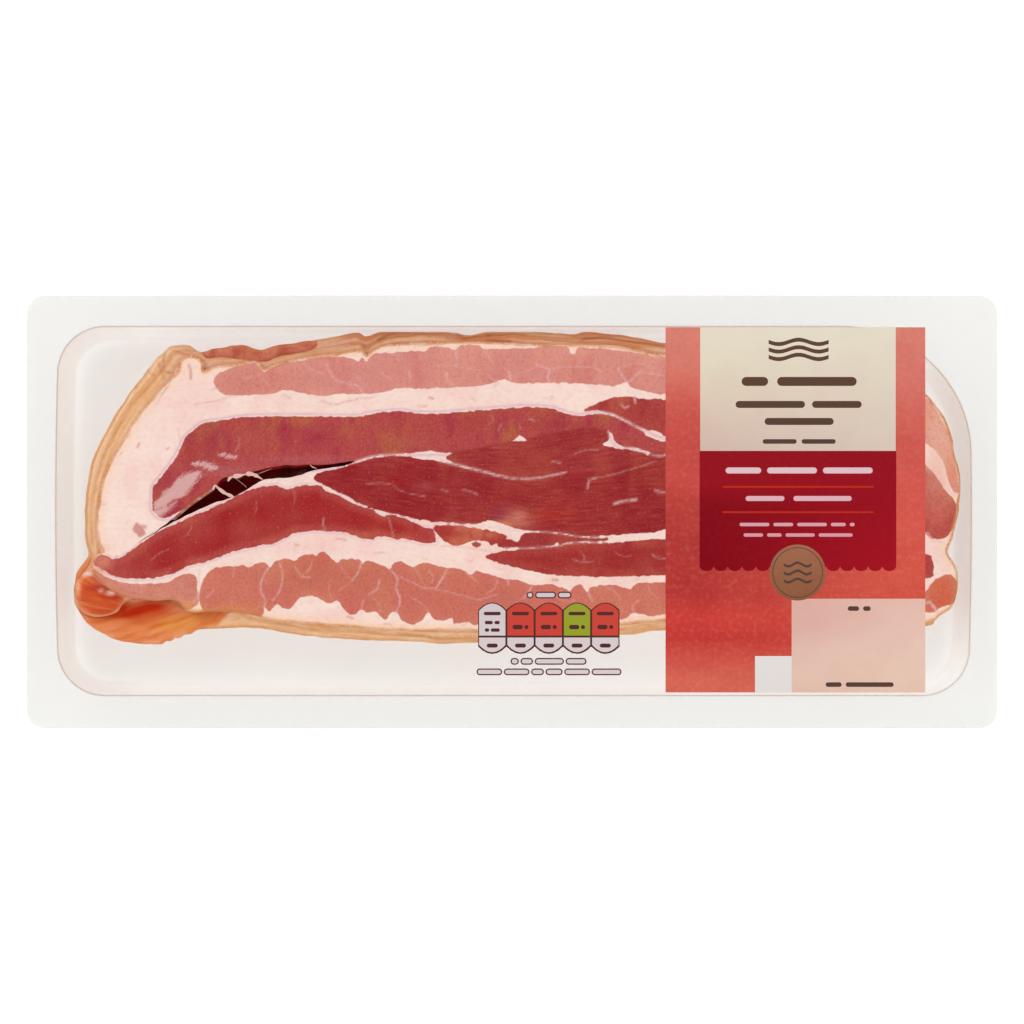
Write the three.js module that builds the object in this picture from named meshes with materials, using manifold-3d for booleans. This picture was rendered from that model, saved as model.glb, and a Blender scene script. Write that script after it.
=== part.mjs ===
// A flat pack of smoked streaky bacon. A shallow clear tray has a wide flange and one deep well, in which
// fourteen rashers are stacked. A clear film is sealed over the flange and the well. On the film lie a
// square-cornered label and a small panel of five rounded cells.
// Lengths are millimetres. X runs along the pack, Y across it and Z up, from the middle of the underside.
import * as THREE from "three";
import { mergeVertices } from "three/addons/utils/BufferGeometryUtils.js";
import Module from "manifold-3d";

// Driving dimensions of the pack: the flange, the mouth of the well and the sheets.
const PACK = { length: 252.4, width: 112.6, cornerRadius: 5, height: 22 };
const MOUTH = {
  left: -117.9,
  right: 118.7,
  bottom: -47.9,
  top: 48.4,
  radius: 12,
  peelRadius: 33, // the corner at +X +Y, wide so that a thumb finds the edge of the film there
  bow: 0.9, // how far the two short sides bulge at their middle
};
const WALL = 0.6;
const DRAFT = 3; // how far the well narrows from its mouth to its floor
const CORNER_STEPS = 7;
const LONG_STEPS = 6;
const SHORT_STEPS = 4;

const FILM = { thickness: 0.3, gap: 0.05 };
const LABEL = { left: 39.9, right: 107.4, bottom: -46.9, top: 48, thickness: 0.2 };
const PANEL = { left: -8.8, bottom: -36.9, cells: 5, cellWidth: 7.35, height: 13.4, thickness: 0.15 };
const PANEL_CROWN = 1.9; // how far each cell's top and bottom swell
const PANEL_ARC_STEPS = 6;

// Driving dimensions of the rashers.
const RASHER = { count: 14, thickness: 1.2, pitch: 1.45, restGap: 0.3, stepsAlong: 30, stepsAcross: 4 };
const WAVE = { height: 0.42, along: 74, across: 58 };
const SIDE_GAP = 0.5; // the least room between a rasher and the wall of the well
const SPLIT_DEPTH = 6; // how many rashers from the top the gap between the muscles runs through

// The two long edges of the top rasher, both from its left tip to its right end. The skin edge goes up round
// the thick fat at the left and then along the pack.
const SKIN_EDGE = [
  [-109.6, -14], [-107.9, -8.6], [-108.4, -1], [-105.4, 11.5], [-95.9, 27.4], [-89.2, 36], [-84.4, 40.8],
  [-79.9, 38], [-66, 38.2], [-47, 40.8], [-31, 44], [-4, 44.3], [22, 43.8], [47, 40.9], [84, 38], [104, 33.6],
  [113.2, 22.4], [116.7, 8.5], [116.2, -1],
];
const BELLY_EDGE = [
  [-109.6, -14], [-108.2, -18.6], [-101, -21.6], [-86, -23.8], [-66, -27], [-47, -29.2], [-12, -31.2],
  [16, -30.8], [42, -29.2], [84, -27.8], [108, -27.4], [114.4, -24.4], [115.7, -18.6], [113.6, -9.5],
  [116.2, -1],
];

// The gap between two muscles, open from one face of a rasher to the other.
const SPLIT_TIPS = [[-91.4, -4.1], [-48.5, 12.2]];
const SPLIT_UPPER = [[-84.8, 0.8], [-78.1, 5.4], [-73.6, 9.8], [-67, 10.8], [-58.1, 11.8]];
const SPLIT_LOWER = [[-80.5, 0.3], [-72.9, 3.5], [-66.2, 7.2], [-56.8, 9.1]];
const SPLIT_STEPS = 8;

// The loose lower left corner, where the rashers under the top one spread out.
const TOE = { x: -95, y: -24, radius: 15, drift: 0.3, drop: 0.95 };

// How far each rasher reaches past the top one at its left, right, skin and belly sides, and at the toe.
const REACH = [
  { left: 0, right: 0, skin: 0, belly: 0, toe: 0 },
  { left: 1.2, right: -0.8, skin: 1.3, belly: 0.8, toe: 7 },
  { left: 2.5, right: -0.6, skin: 2.8, belly: 1.7, toe: 13.5 },
  { left: 3.5, right: -1.4, skin: 3.8, belly: 2.5, toe: 10 },
];
const DEEP_REACH = { left: 2.4, right: -1.8, skin: 1.9, belly: 1.7, toe: 4.5, spread: 0.9 };
const ALONG = { start: -110, length: 226 }; // the stretch in which a rasher's reach turns from left to right
const ACROSS = { start: -31, length: 75 }; // and from belly to skin

const COLOURS = {
  tray: "#eeede8",
  film: "#f6f6f4",
  label: "#cf5548",
  panel: "#c94f45",
  topRasher: "#bb5450",
  rasher: "#d39a82",
};

function material(colour, roughness) {
  return new THREE.MeshStandardMaterial({ color: colour, roughness, metalness: 0 });
}

// A closed geometry from corner positions and triangles.
function closedGeometry(corners, triangles) {
  const geometry = new THREE.BufferGeometry();
  geometry.setAttribute("position", new THREE.Float32BufferAttribute(corners.flat(), 3));
  geometry.setIndex(triangles);
  geometry.computeVertexNormals();
  return geometry;
}

// A rounded rectangle as points, anticlockwise from the lower left corner. There are always as many of them,
// so that two such loops can be joined point by point. The radii go round from the lower left, and bow bulges
// the short sides.
function roundedLoop({ left, right, bottom, top, radii, bow }) {
  const corners = [
    [left + radii[0], bottom + radii[0], Math.PI, radii[0]],
    [right - radii[1], bottom + radii[1], 1.5 * Math.PI, radii[1]],
    [right - radii[2], top - radii[2], 0, radii[2]],
    [left + radii[3], top - radii[3], 0.5 * Math.PI, radii[3]],
  ];
  const points = [];
  corners.forEach(([x, y, start, radius], i) => {
    for (let k = 0; k <= CORNER_STEPS; k++) {
      const angle = start + (k / CORNER_STEPS) * 0.5 * Math.PI;
      points.push(new THREE.Vector2(x + radius * Math.cos(angle), y + radius * Math.sin(angle)));
    }
    const from = points[points.length - 1];
    const [nextX, nextY, nextStart, nextRadius] = corners[(i + 1) % corners.length];
    const to = new THREE.Vector2(
      nextX + nextRadius * Math.cos(nextStart),
      nextY + nextRadius * Math.sin(nextStart),
    );
    const steps = i % 2 ? SHORT_STEPS : LONG_STEPS;
    for (let k = 1; k < steps; k++) {
      points.push(from.clone().lerp(to, k / steps));
    }
  });
  const middle = (bottom + top) / 2;
  const half = (top - bottom) / 2;
  for (const p of points) {
    const side = p.x < (left + right) / 2 ? -1 : 1;
    const reach = Math.abs(side < 0 ? left : right);
    const nearSide = THREE.MathUtils.smoothstep(side * p.x, 0.75 * reach, reach);
    p.x += side * bow * nearSide * (1 - ((p.y - middle) / half) ** 2);
  }
  return points;
}

function flangeLoop() {
  const { length, width, cornerRadius } = PACK;
  return roundedLoop({
    left: -length / 2,
    right: length / 2,
    bottom: -width / 2,
    top: width / 2,
    radii: [cornerRadius, cornerRadius, cornerRadius, cornerRadius],
    bow: 0,
  });
}

// The outline of the well, taken in from its mouth by inset.
function wellLoop(inset) {
  const { left, right, bottom, top, radius, peelRadius, bow } = MOUTH;
  const corner = Math.max(radius - inset, 1);
  return roundedLoop({
    left: left + inset,
    right: right - inset,
    bottom: bottom + inset,
    top: top - inset,
    radii: [corner, corner, peelRadius - inset, corner],
    bow,
  });
}

// The inside of the well from mouth to floor, as pairs of inset and height.
function wellProfile() {
  const { height } = PACK;
  return [
    [0, height],
    [0.35, height - 0.2],
    [0.6, height - 0.9],
    [DRAFT - 0.5, WALL + 3.6],
    [DRAFT, WALL + 1.7],
    [DRAFT + 1, WALL + 0.5],
    [DRAFT + 2.6, WALL],
  ];
}

// The same profile on the outer face of the wall, one wall thickness further out and down.
function outerProfile() {
  const inner = wellProfile();
  return inner.map(([inset, z], i) => {
    const [x0, z0] = inner[Math.max(i - 1, 0)];
    const [x1, z1] = inner[Math.min(i + 1, inner.length - 1)];
    const run = new THREE.Vector2(x1 - x0, z1 - z0).normalize();
    if (i === 0) {
      return [-WALL, z - WALL];
    }
    if (i === inner.length - 1) {
      return [inset, z - WALL];
    }
    return [inset + run.y * WALL, z - Math.abs(run.x) * WALL];
  });
}

// Joins rings of points into a closed skin, with a fan over the first ring and over the last.
function loftRings(rings) {
  const count = rings[0].length;
  const corners = rings.flat();
  const triangles = [];
  for (let r = 0; r + 1 < rings.length; r++) {
    for (let i = 0; i < count; i++) {
      const a = r * count + i;
      const b = r * count + ((i + 1) % count);
      triangles.push(a, b, b + count, a, b + count, a + count);
    }
  }
  const firstCentre = corners.length;
  const lastCentre = firstCentre + 1;
  const lastStart = (rings.length - 1) * count;
  corners.push([0, 0, rings[0][0][2]], [0, 0, rings[rings.length - 1][0][2]]);
  for (let i = 0; i < count; i++) {
    const next = (i + 1) % count;
    triangles.push(firstCentre, next, i);
    triangles.push(lastCentre, lastStart + i, lastStart + next);
  }
  return closedGeometry(corners, triangles);
}

function makeTray() {
  const ring = (points, z) => points.map((p) => [p.x, p.y, z]);
  const outside = outerProfile().reverse();
  const inside = wellProfile();
  const rings = [
    ...outside.map(([inset, z]) => ring(wellLoop(inset), z)),
    ring(flangeLoop(), PACK.height - WALL),
    ring(flangeLoop(), PACK.height),
    ...inside.map(([inset, z]) => ring(wellLoop(inset), z)),
  ];
  const tray = new THREE.Mesh(loftRings(rings), material(COLOURS.tray, 0.25));
  tray.name = "tray";
  return tray;
}

// A flat sheet with the given outline.
function makeSheet(name, outline, z, thickness, surface) {
  const shape = new THREE.Shape(outline);
  const geometry = new THREE.ExtrudeGeometry(shape, { depth: thickness, bevelEnabled: false });
  const sheet = new THREE.Mesh(geometry, surface);
  sheet.name = name;
  sheet.position.z = z;
  return sheet;
}

function makeLabel(z) {
  const { left, right, bottom, top, thickness } = LABEL;
  const corners = [[left, bottom], [right, bottom], [right, top], [left, top]];
  const outline = corners.map((p) => new THREE.Vector2(...p));
  return makeSheet("label", outline, z, thickness, material(COLOURS.label, 0.55));
}

// The panel is a row of cells, each with a crowned top and bottom.
function makePanel(z) {
  const { left, bottom, cells, cellWidth, height, thickness } = PANEL;
  const bottoms = [];
  const tops = [];
  for (let i = 0; i <= cells * PANEL_ARC_STEPS; i++) {
    const across = (i % PANEL_ARC_STEPS) / PANEL_ARC_STEPS;
    const rise = PANEL_CROWN * 4 * across * (1 - across);
    const x = left + (i / PANEL_ARC_STEPS) * cellWidth;
    bottoms.push(new THREE.Vector2(x, bottom + PANEL_CROWN - rise));
    tops.push(new THREE.Vector2(x, bottom + height - PANEL_CROWN + rise));
  }
  return makeSheet("panel", [...bottoms, ...tops.reverse()], z, thickness, material(COLOURS.panel, 0.5));
}

// Repeatable numbers from 0 to 1, so that the deeper rashers differ in the same way each time.
function seededRandom(seed) {
  let state = seed;
  return () => {
    state = (state * 16807) % 2147483647;
    return state / 2147483647;
  };
}

function reachOf(level) {
  if (level < REACH.length) {
    return REACH[level];
  }
  const random = seededRandom(7919 * (level + 1));
  const vary = () => (random() - 0.5) * 2 * DEEP_REACH.spread;
  return {
    left: DEEP_REACH.left + vary(),
    right: DEEP_REACH.right + vary(),
    skin: DEEP_REACH.skin + vary(),
    belly: DEEP_REACH.belly + vary(),
    toe: DEEP_REACH.toe + vary(),
  };
}

function heightOf(level) {
  return WALL + RASHER.restGap + (RASHER.count - 1 - level) * RASHER.pitch;
}

// How far the wall has come in from the mouth of the well at this height.
function wallInset(height) {
  const profile = wellProfile();
  const below = Math.max(profile.findIndex(([, z]) => z <= height), 1);
  const [insetAbove, zAbove] = profile[below - 1];
  const [insetBelow, zBelow] = profile[below];
  return THREE.MathUtils.lerp(insetAbove, insetBelow, (zAbove - height) / (zAbove - zBelow));
}

// Moves a point of the top rasher to where it lies in the rasher at this level, inside the wall of the well.
function spread([x, y], level) {
  const { left, right, skin, belly, toe } = reachOf(level);
  const alongShare = THREE.MathUtils.clamp((x - ALONG.start) / ALONG.length, 0, 1);
  const acrossShare = THREE.MathUtils.clamp((y - ACROSS.start) / ACROSS.length, 0, 1);
  const nearToe = Math.exp(-((x - TOE.x) ** 2 + (y - TOE.y) ** 2) / (2 * TOE.radius ** 2));
  const movedX = x + THREE.MathUtils.lerp(-left, right, alongShare) - TOE.drift * toe * nearToe;
  const drop = TOE.drop * toe * nearToe * (1 - acrossShare);
  const movedY = y + THREE.MathUtils.lerp(-belly, skin, acrossShare) - drop;
  const room = SIDE_GAP + wallInset(heightOf(level));
  return [
    THREE.MathUtils.clamp(movedX, MOUTH.left + room, MOUTH.right - room),
    THREE.MathUtils.clamp(movedY, MOUTH.bottom + room, MOUTH.top - room),
  ];
}

// How far the stack rises and dips. The bottom rasher lies flat on the tray.
function wave(x, y, level) {
  const share = 1 - level / (RASHER.count - 1);
  return WAVE.height * share * Math.sin(x / WAVE.along * 2 + 0.6) * Math.cos(y / WAVE.across * 2 - 0.4);
}

// A prism through the stack in the shape of the gap between the muscles.
function makeSplitCutter(level) {
  const [left, right] = SPLIT_TIPS;
  const side = (points) => {
    const placed = [left, ...points, right].map((p) => new THREE.Vector2(...spread(p, level)));
    return new THREE.SplineCurve(placed).getPoints(SPLIT_STEPS);
  };
  const shape = new THREE.Shape([...side(SPLIT_UPPER), ...side(SPLIT_LOWER).reverse().slice(1, -1)]);
  const geometry = new THREE.ExtrudeGeometry(shape, { depth: 4 * RASHER.pitch, bevelEnabled: false });
  geometry.translate(0, 0, heightOf(level) - 2 * RASHER.pitch);
  return geometry;
}

// A thin wavy slice between the two edges. Both faces are split into triangles alike.
function makeSlice(level) {
  const { stepsAlong, stepsAcross, thickness } = RASHER;
  const skin = new THREE.SplineCurve(SKIN_EDGE.map((p) => new THREE.Vector2(...p)));
  const belly = new THREE.SplineCurve(BELLY_EDGE.map((p) => new THREE.Vector2(...p)));
  const low = [];
  const columns = [];
  for (let i = 0; i <= stepsAlong; i++) {
    const top = skin.getPointAt(i / stepsAlong);
    const bottom = belly.getPointAt(i / stepsAlong);
    const rows = i === 0 || i === stepsAlong ? 0 : stepsAcross;
    columns.push(Array.from({ length: rows + 1 }, (_, j) => low.length + j));
    for (let j = 0; j <= rows; j++) {
      const p = bottom.clone().lerp(top, rows ? j / rows : 0);
      const [x, y] = spread([p.x, p.y], level);
      low.push([x, y, heightOf(level) + wave(x, y, level)]);
    }
  }
  const face = [];
  for (let i = 0; i < stepsAlong; i++) {
    const here = columns[i];
    const next = columns[i + 1];
    for (let j = 0; j < stepsAcross; j++) {
      if (here.length > 1) {
        face.push([here[j], next[Math.min(j, next.length - 1)], here[j + 1]]);
      }
      if (next.length > 1) {
        face.push([here[Math.min(j + 1, here.length - 1)], next[j], next[j + 1]]);
      }
    }
  }
  const inner = columns.slice(1, -1);
  const bellySide = inner.map((column) => column[0]);
  const skinSide = inner.map((column) => column[column.length - 1]);
  const rim = [columns[0][0], ...bellySide, columns[stepsAlong][0], ...skinSide.reverse()];
  const lift = low.length;
  const corners = [...low, ...low.map(([x, y, z]) => [x, y, z + thickness])];
  const triangles = [];
  for (const [a, b, c] of face) {
    triangles.push(a + lift, b + lift, c + lift, a, c, b);
  }
  rim.forEach((a, i) => {
    const b = rim[(i + 1) % rim.length];
    triangles.push(a, b, b + lift, a, b + lift, a + lift);
  });
  return closedGeometry(corners, triangles);
}

const wasm = await Module();
wasm.setup();

function toSolid(geometry) {
  const bare = geometry.clone();
  bare.deleteAttribute("normal");
  bare.deleteAttribute("uv");
  const merged = mergeVertices(bare, 1e-4);
  return new wasm.Manifold(
    new wasm.Mesh({
      numProp: 3,
      vertProperties: merged.attributes.position.array,
      triVerts: new Uint32Array(merged.index.array),
    }),
  );
}

function toGeometry(solid) {
  const mesh = solid.getMesh();
  const geometry = new THREE.BufferGeometry();
  geometry.setAttribute("position", new THREE.BufferAttribute(mesh.vertProperties, 3));
  geometry.setIndex(new THREE.BufferAttribute(mesh.triVerts, 1));
  geometry.computeVertexNormals();
  return geometry;
}

function makeRasher(level) {
  let geometry = makeSlice(level);
  if (level < SPLIT_DEPTH) {
    geometry = toGeometry(toSolid(geometry).subtract(toSolid(makeSplitCutter(level))));
  }
  const colour = level === 0 ? COLOURS.topRasher : COLOURS.rasher;
  const rasher = new THREE.Mesh(geometry, material(colour, 0.45));
  rasher.name = `rasher_${String(level + 1).padStart(2, "0")}`;
  return rasher;
}

const pack = new THREE.Group();
pack.name = "bacon_pack";
pack.add(makeTray());
for (let level = 0; level < RASHER.count; level++) {
  pack.add(makeRasher(level));
}
const filmZ = PACK.height + FILM.gap;
const printZ = filmZ + FILM.thickness + FILM.gap;
pack.add(makeSheet("film", flangeLoop(), filmZ, FILM.thickness, material(COLOURS.film, 0.1)));
pack.add(makeLabel(printZ));
pack.add(makePanel(printZ));

export default pack;
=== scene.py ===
# A flat pack of smoked streaky bacon, seen from straight above on a white floor.
# The clear tray, the film and the fourteen rashers are modelled in millimetres and written as metres.
# Outlines on the meat and the print are points in the 1024 pixel photograph, which on_pack turns into
# millimetres.
import math

import bpy
import numpy as np
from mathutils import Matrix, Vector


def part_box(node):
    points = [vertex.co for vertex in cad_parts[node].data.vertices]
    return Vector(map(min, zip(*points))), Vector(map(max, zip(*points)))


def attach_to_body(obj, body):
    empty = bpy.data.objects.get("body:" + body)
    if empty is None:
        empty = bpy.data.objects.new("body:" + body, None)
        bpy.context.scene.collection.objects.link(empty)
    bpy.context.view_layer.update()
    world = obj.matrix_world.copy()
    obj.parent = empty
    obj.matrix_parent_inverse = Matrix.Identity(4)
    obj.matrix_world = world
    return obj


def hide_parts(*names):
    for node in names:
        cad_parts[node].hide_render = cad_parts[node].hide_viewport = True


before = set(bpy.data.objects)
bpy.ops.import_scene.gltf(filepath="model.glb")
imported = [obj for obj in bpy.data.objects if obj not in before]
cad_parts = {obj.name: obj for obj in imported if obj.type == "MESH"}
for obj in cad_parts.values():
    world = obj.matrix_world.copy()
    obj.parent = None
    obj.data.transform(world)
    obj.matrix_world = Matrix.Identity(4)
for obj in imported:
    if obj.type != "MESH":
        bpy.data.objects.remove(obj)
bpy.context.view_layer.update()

MM = 0.001
PIXEL = 0.26  # millimetres of the pack to one pixel
PHOTO_MIDDLE = 511.5

# The tray and its well.
PACK_LENGTH = 252.4
PACK_WIDTH = 112.6
PACK_HEIGHT = 22.0
FLANGE_CORNER = 5.0
MOUTH = {"left": -117.9, "right": 118.7, "bottom": -47.9, "top": 48.4}
MOUTH_CORNER = 12.0
PEEL_CORNER = 33.0
MOUTH_BOW = 0.9
WALL = 0.6
EDGE_ROUND = 0.12
# How strongly painted shade, tinted with the painted reflection of the meat, lies on each wall of the well.
WALL_SHADE = {"left": 0.8, "right": 1.0, "right low": 0.35, "top": 0.42, "bottom": 0.46}
CORNER_STEPS = 20
LONG_STEPS = 40
SHORT_STEPS = 20

# The well from its mouth to its floor: how far it has come in, and its height.
WELL_INSET = [-1.2, -0.5, -0.1, 0.18, 0.4, 0.52, 0.62, 1.1, 1.7, 2.3, 2.5, 2.7, 3.1, 3.7, 4.6, 5.8]
WELL_HEIGHT = [22.0, 22.0, 21.93, 21.75, 21.4, 21.0, 20.6, 16.6, 11.5, 6.2, 4.2, 3.0, 1.95, 1.2, 0.75, 0.6]

# The film: its thickness, how high it lies over the flange, how far it dips, and its cells.
FILM_THICKNESS = 0.08
FILM_LIFT = 0.24
FILM_DIP = 0.16
FILM_STEPS = (126, 56)

# The stack.
RASHERS = 14
RASHER_THICKNESS = 1.32
RASHER_PITCH = 1.45
REST_GAP = 0.3
WAVE_HEIGHT = 0.42
WAVE_ALONG = 74.0
WAVE_ACROSS = 58.0
SIDE_GAP = 0.45
SPLIT_DEPTH = 6
LEDGE = 0.85
STACK_LEFT = -114.0
STACK_LENGTH = 230.0
STACK_FRONT = -34.0
STACK_WIDTH = 80.0

# The edge of a slice: how far its rim sinks and how wide that is, how far its middle stands out, and how far
# its underside is tucked in.
RIM_DROOP = 0.42
RIM_WIDTH = 0.9
RIM_BULGE = 0.12
RIM_TUCK = 0.1

# The edges of the top rasher, of the two that show beyond it, and of the gap between its muscles.
TOP_EDGES = {
    "left": [(90, 563), (96, 554), (102, 551), (97, 543), (95, 523), (97, 506), (100, 486), (105, 471),
             (112, 456), (122, 440), (132, 422), (146, 404), (158, 389)],
    "skin": [(158, 389), (170, 377), (177, 371), (179, 361), (186, 355), (197, 356), (203, 362),
             (203, 370), (213, 366), (232, 363), (255, 360.5), (264, 368), (275, 363), (301, 357),
             (330, 353.5), (360, 348.7), (366, 354), (372, 350), (383, 344.5), (402, 343), (453, 341),
             (500, 341.7), (537, 343.6), (588, 344.2), (614, 345), (633, 348.7), (665, 353.8), (740, 360),
             (830, 368), (900, 381), (925, 393), (940, 411)],
    "right": [(950, 609), (955, 599), (958, 580), (955, 565), (947.5, 553), (948.5, 546), (952, 538),
              (954, 529), (957, 517), (959.5, 500), (960, 475), (955, 456), (952, 439), (946, 420),
              (940, 411)],
    "belly": [(90, 563), (92, 572), (104, 585), (117, 593), (132, 598), (153, 600), (170, 599),
              (178, 602), (188, 611), (210, 611), (232, 611), (255, 615), (267, 619.5), (300, 623),
              (351, 627), (397, 630), (477, 631), (560, 628), (620, 624), (665, 621), (760, 619),
              (850, 619), (925, 622), (940, 615), (950, 609)],
}
SECOND_EDGES = {
    "left": [(76, 580), (86, 568), (91, 556), (90, 540), (90, 510), (93, 486), (98, 468), (103, 452),
             (118, 425), (134, 400), (156, 374)],
    "skin": [(156, 374), (167, 362), (173, 353), (184, 350), (198, 352), (206, 358), (220, 356.5),
             (242, 359), (264, 361), (276, 357), (300, 352), (330, 347), (358, 341), (365, 347),
             (376, 341), (396, 336), (430, 335), (460, 338), (485, 336), (515, 335), (544, 337),
             (572, 339), (612, 338.5), (640, 343), (665, 347), (740, 355), (840, 365), (900, 379),
             (922, 395), (936, 412)],
    "right": [(945, 604), (951, 594), (953, 577), (944, 555), (946, 540), (953, 510), (954, 478),
              (948, 440), (936, 412)],
    "belly": [(76, 580), (73, 592), (76, 606), (86, 614), (100, 616), (116, 611), (124, 601), (150, 595),
              (176, 596), (205, 606), (232, 612), (256, 619.5), (300, 627), (351, 631), (397, 634.5),
              (470, 637), (620, 629.5), (665, 625), (800, 620), (925, 621), (936, 612), (945, 604)],
}
THIRD_EDGES = {
    "left": [(72, 588), (75, 572), (86, 556), (83.5, 538), (83, 510), (87, 476), (93, 455), (108, 424),
             (122, 401), (143, 374)],
    "skin": [(143, 374), (155, 358), (163, 350), (171, 345.5), (187, 345), (200, 352), (215, 347.6),
             (241, 345), (258, 349), (277, 344), (299, 341.5), (330, 337), (356, 331.5), (364, 336),
             (378, 332), (396, 329.5), (419, 328), (451, 331), (465, 334.5), (485, 331), (512, 330),
             (544, 331), (572, 334), (588, 331), (608, 333), (646, 338), (665, 341.7), (740, 351),
             (840, 363), (900, 378), (920, 396), (932, 414)],
    "right": [(937, 616), (948, 597), (949, 577), (941, 555), (944, 540), (950, 510), (951, 478),
              (945, 440), (932, 414)],
    "belly": [(72, 588), (75, 608), (88, 625), (108, 637), (133, 643), (151, 644), (160, 643.6),
              (165, 640.2), (169, 641.2), (173, 637.6), (178, 638), (183, 633.8), (189, 633.6),
              (196, 629.4), (213, 628), (250, 627), (269, 630), (324, 637), (397, 640.5), (470, 643),
              (620, 634.5), (663, 630), (800, 625), (920, 626), (937, 616)],
}
SPLIT = [(137.5, 542), (163, 525), (189, 503), (206, 491), (215, 485), (223, 477), (241, 474), (262, 469),
         (281, 465), (304, 464.6), (321, 464), (334, 463), (353, 460.3), (341, 466), (322, 468),
         (308, 471.5), (292, 476.7), (263, 479.3), (252, 485.5), (232, 496.5), (211, 503.6), (194, 511),
         (170, 523)]

# The line under the ledge of the second rasher.
LEDGE_LINE = [(137, 542), (170, 519), (214, 494), (252, 480)]
# The lean that shows along the skin at the left of the third rasher.
STRIP = [(201, 356), (200, 346), (215, 341), (241, 338), (258, 342), (277, 337), (299, 335), (312, 336),
         (315, 346), (290, 356), (262, 364), (235, 364), (207, 362)]

# Torn threads across the gap: each has a half width in pixels, and its points as pixels with a drop below the
# surface in millimetres.
STRANDS = [
    (2.1, [(212, 490, 0.1), (214, 485, 0.0), (218, 488, 0.05), (224, 492.5, 0.15), (233, 496.5, 0.1)]),
    (2.5, [(227, 481, 0.2), (230, 476.5, 0.1), (238, 475, 0.1), (247, 473, 0.1), (254, 474.5, 0.2),
           (262, 479, 0.2)]),
    (0.35, [(232, 476, 0.4), (240, 482, 1.4), (246, 487, 0.4)]),
    (0.3, [(256, 474, 0.4), (263, 471, 1.2), (271, 468, 0.4)]),
    (0.7, [(309, 463, 0.1), (311, 466, 0.3), (316, 468, 0.1)]),
]

# How far inside the third rasher's edge the deeper ones stay: the least, and how much that varies.
DEEP_INSET = 1.0
DEEP_VARIATION = 1.8

# The meshes of the rashers from the top down: columns, rows, where each falls as pairs of shares, and how
# many cells of the top go to one of the underside. The last serves all deeper rashers but the lowest.
VISIBLE_LENGTH = ([0, 0.86, 0.93, 1], [0, 0.66, 0.965, 1])
SHOWN_ENDS = ([0, 0.42, 0.93, 1], [0, 0.26, 0.97, 1])
SHOWN_SIDES = ([0, 0.5, 0.7, 1], [0, 0.3, 0.86, 1])
EVEN = ([0, 1], [0, 1])
GRIDS = [
    (500, 180, VISIBLE_LENGTH, EVEN, 10),
    (320, 110, SHOWN_ENDS, SHOWN_SIDES, 10),
    (320, 110, SHOWN_ENDS, SHOWN_SIDES, 10),
    (120, 30, EVEN, EVEN, 5),
]
LOWEST_GRID = (300, 100, EVEN, EVEN, 2)
SHORT_VESSELS = 240
FIELD_REACH = 3.0  # distances on the meat are measured this far, in millimetres
# The dark line at the mouth is painted: the meat's colour refracted in the bend of the clear plastic.
LIP_STEP = 3  # the ring of the well that carries the dark line of its mouth

# Print. Places are in pixels. A field is left, top, right and bottom. A line of words is left, right, row,
# height, the lengths of its bars and the space between them.
LABEL_TOP = 327
LABEL_BOTTOM = 692
LABEL_ENDS = (700, 900)
CREAM_FIELD = (699.6, 327, 895, 450.4)
CRIMSON_FIELD = (699, 450.4, 895.6, 570.5)
SCALLOPS = 14
SCALLOP_DEPTH = 4.5
BLUSH_FIELD = (791, 598.2, 924.6, 691.8)
PALE_SQUARE = (754.4, 655.5, 791, 691.8)
RULES = [(722, 485.4, 873, 487.2), (722, 510.8, 873, 512.6)]
RIBBONS = [(768, 828, row, 4.0, 2.2, 1.5) for row in (341.5, 349, 356.5)]
BADGE_RIBBONS = [(783, 811, row, 2.6, 1.8, 1.5) for row in (564, 572, 580)]
BADGE = (797, 572)
BADGE_RADIUS = 28
BADGE_RING = (24.5, 25.2)
BROWN_LINES = [(741, 856, 381, 9, [2, 6], 9), (735, 861, 404, 7, [7, 5], 7), (764, 833, 421, 7, [1]),
               (762, 835, 441, 4.6, [7, 7], 5)]
ROSE_LINES = [(725, 872, 470, 6, [5, 7, 7], 6), (745, 851, 498, 5, [4, 6], 9),
              (739, 854, 524, 3.4, [6, 4, 6, 3, 1], 4), (743, 852, 534.5, 3.4, [4, 3, 6, 7], 4)]
DATE_LINES = [(847, 870, 608, 4.6, [3, 2], 4), (825, 893, 684, 4.6, [4, 12], 4)]
PANEL_EDGES = [477.6, 505.9, 534.1, 562.4, 590.6, 618.9]
PANEL_TOP = 600.8
PANEL_BOTTOM = 653.2
PANEL_DIVIDER = 636.0
PANEL_CROWN = 7.3
PANEL_LINE = 1.0
# Lines of bars in a cell, of which the first cell has its own: half the line's length, then as above.
CELL_LINES = [(8.5, 613, 3.4, [1]), (8, 626.5, 4.4, [5, 2], 1.6), (5.5, 645, 4.0, [1])]
FIRST_CELL_LINES = [(8.5, 613, 3.4, [1]), (7.5, 622, 3.4, [3, 2], 1.6), (7.5, 629.5, 3.4, [2, 4], 1.6),
                    (5.5, 645, 4.0, [1])]
CAPTION_LINES = [(526, 571, 594.5, [2, 6, 4]), (510, 586, 660.8, [2, 3, 7, 5]),
                 (476, 621, 671.3, [6, 6, 3, 4, 6, 7])]
CAPTION_HEIGHT = 6.8
CAPTION_SPACE = 1.6
CAPTION_OUTLINE = 1.3
# How far the ink goes down into what it is printed on, and how far each layer stands up, in millimetres.
LABEL_SUNK = 0.05
PANEL_SUNK = 0.04
LAYERS = (0.02, 0.035, 0.05)
CAPTION_LAYERS = (0.04, 0.06)
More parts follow.
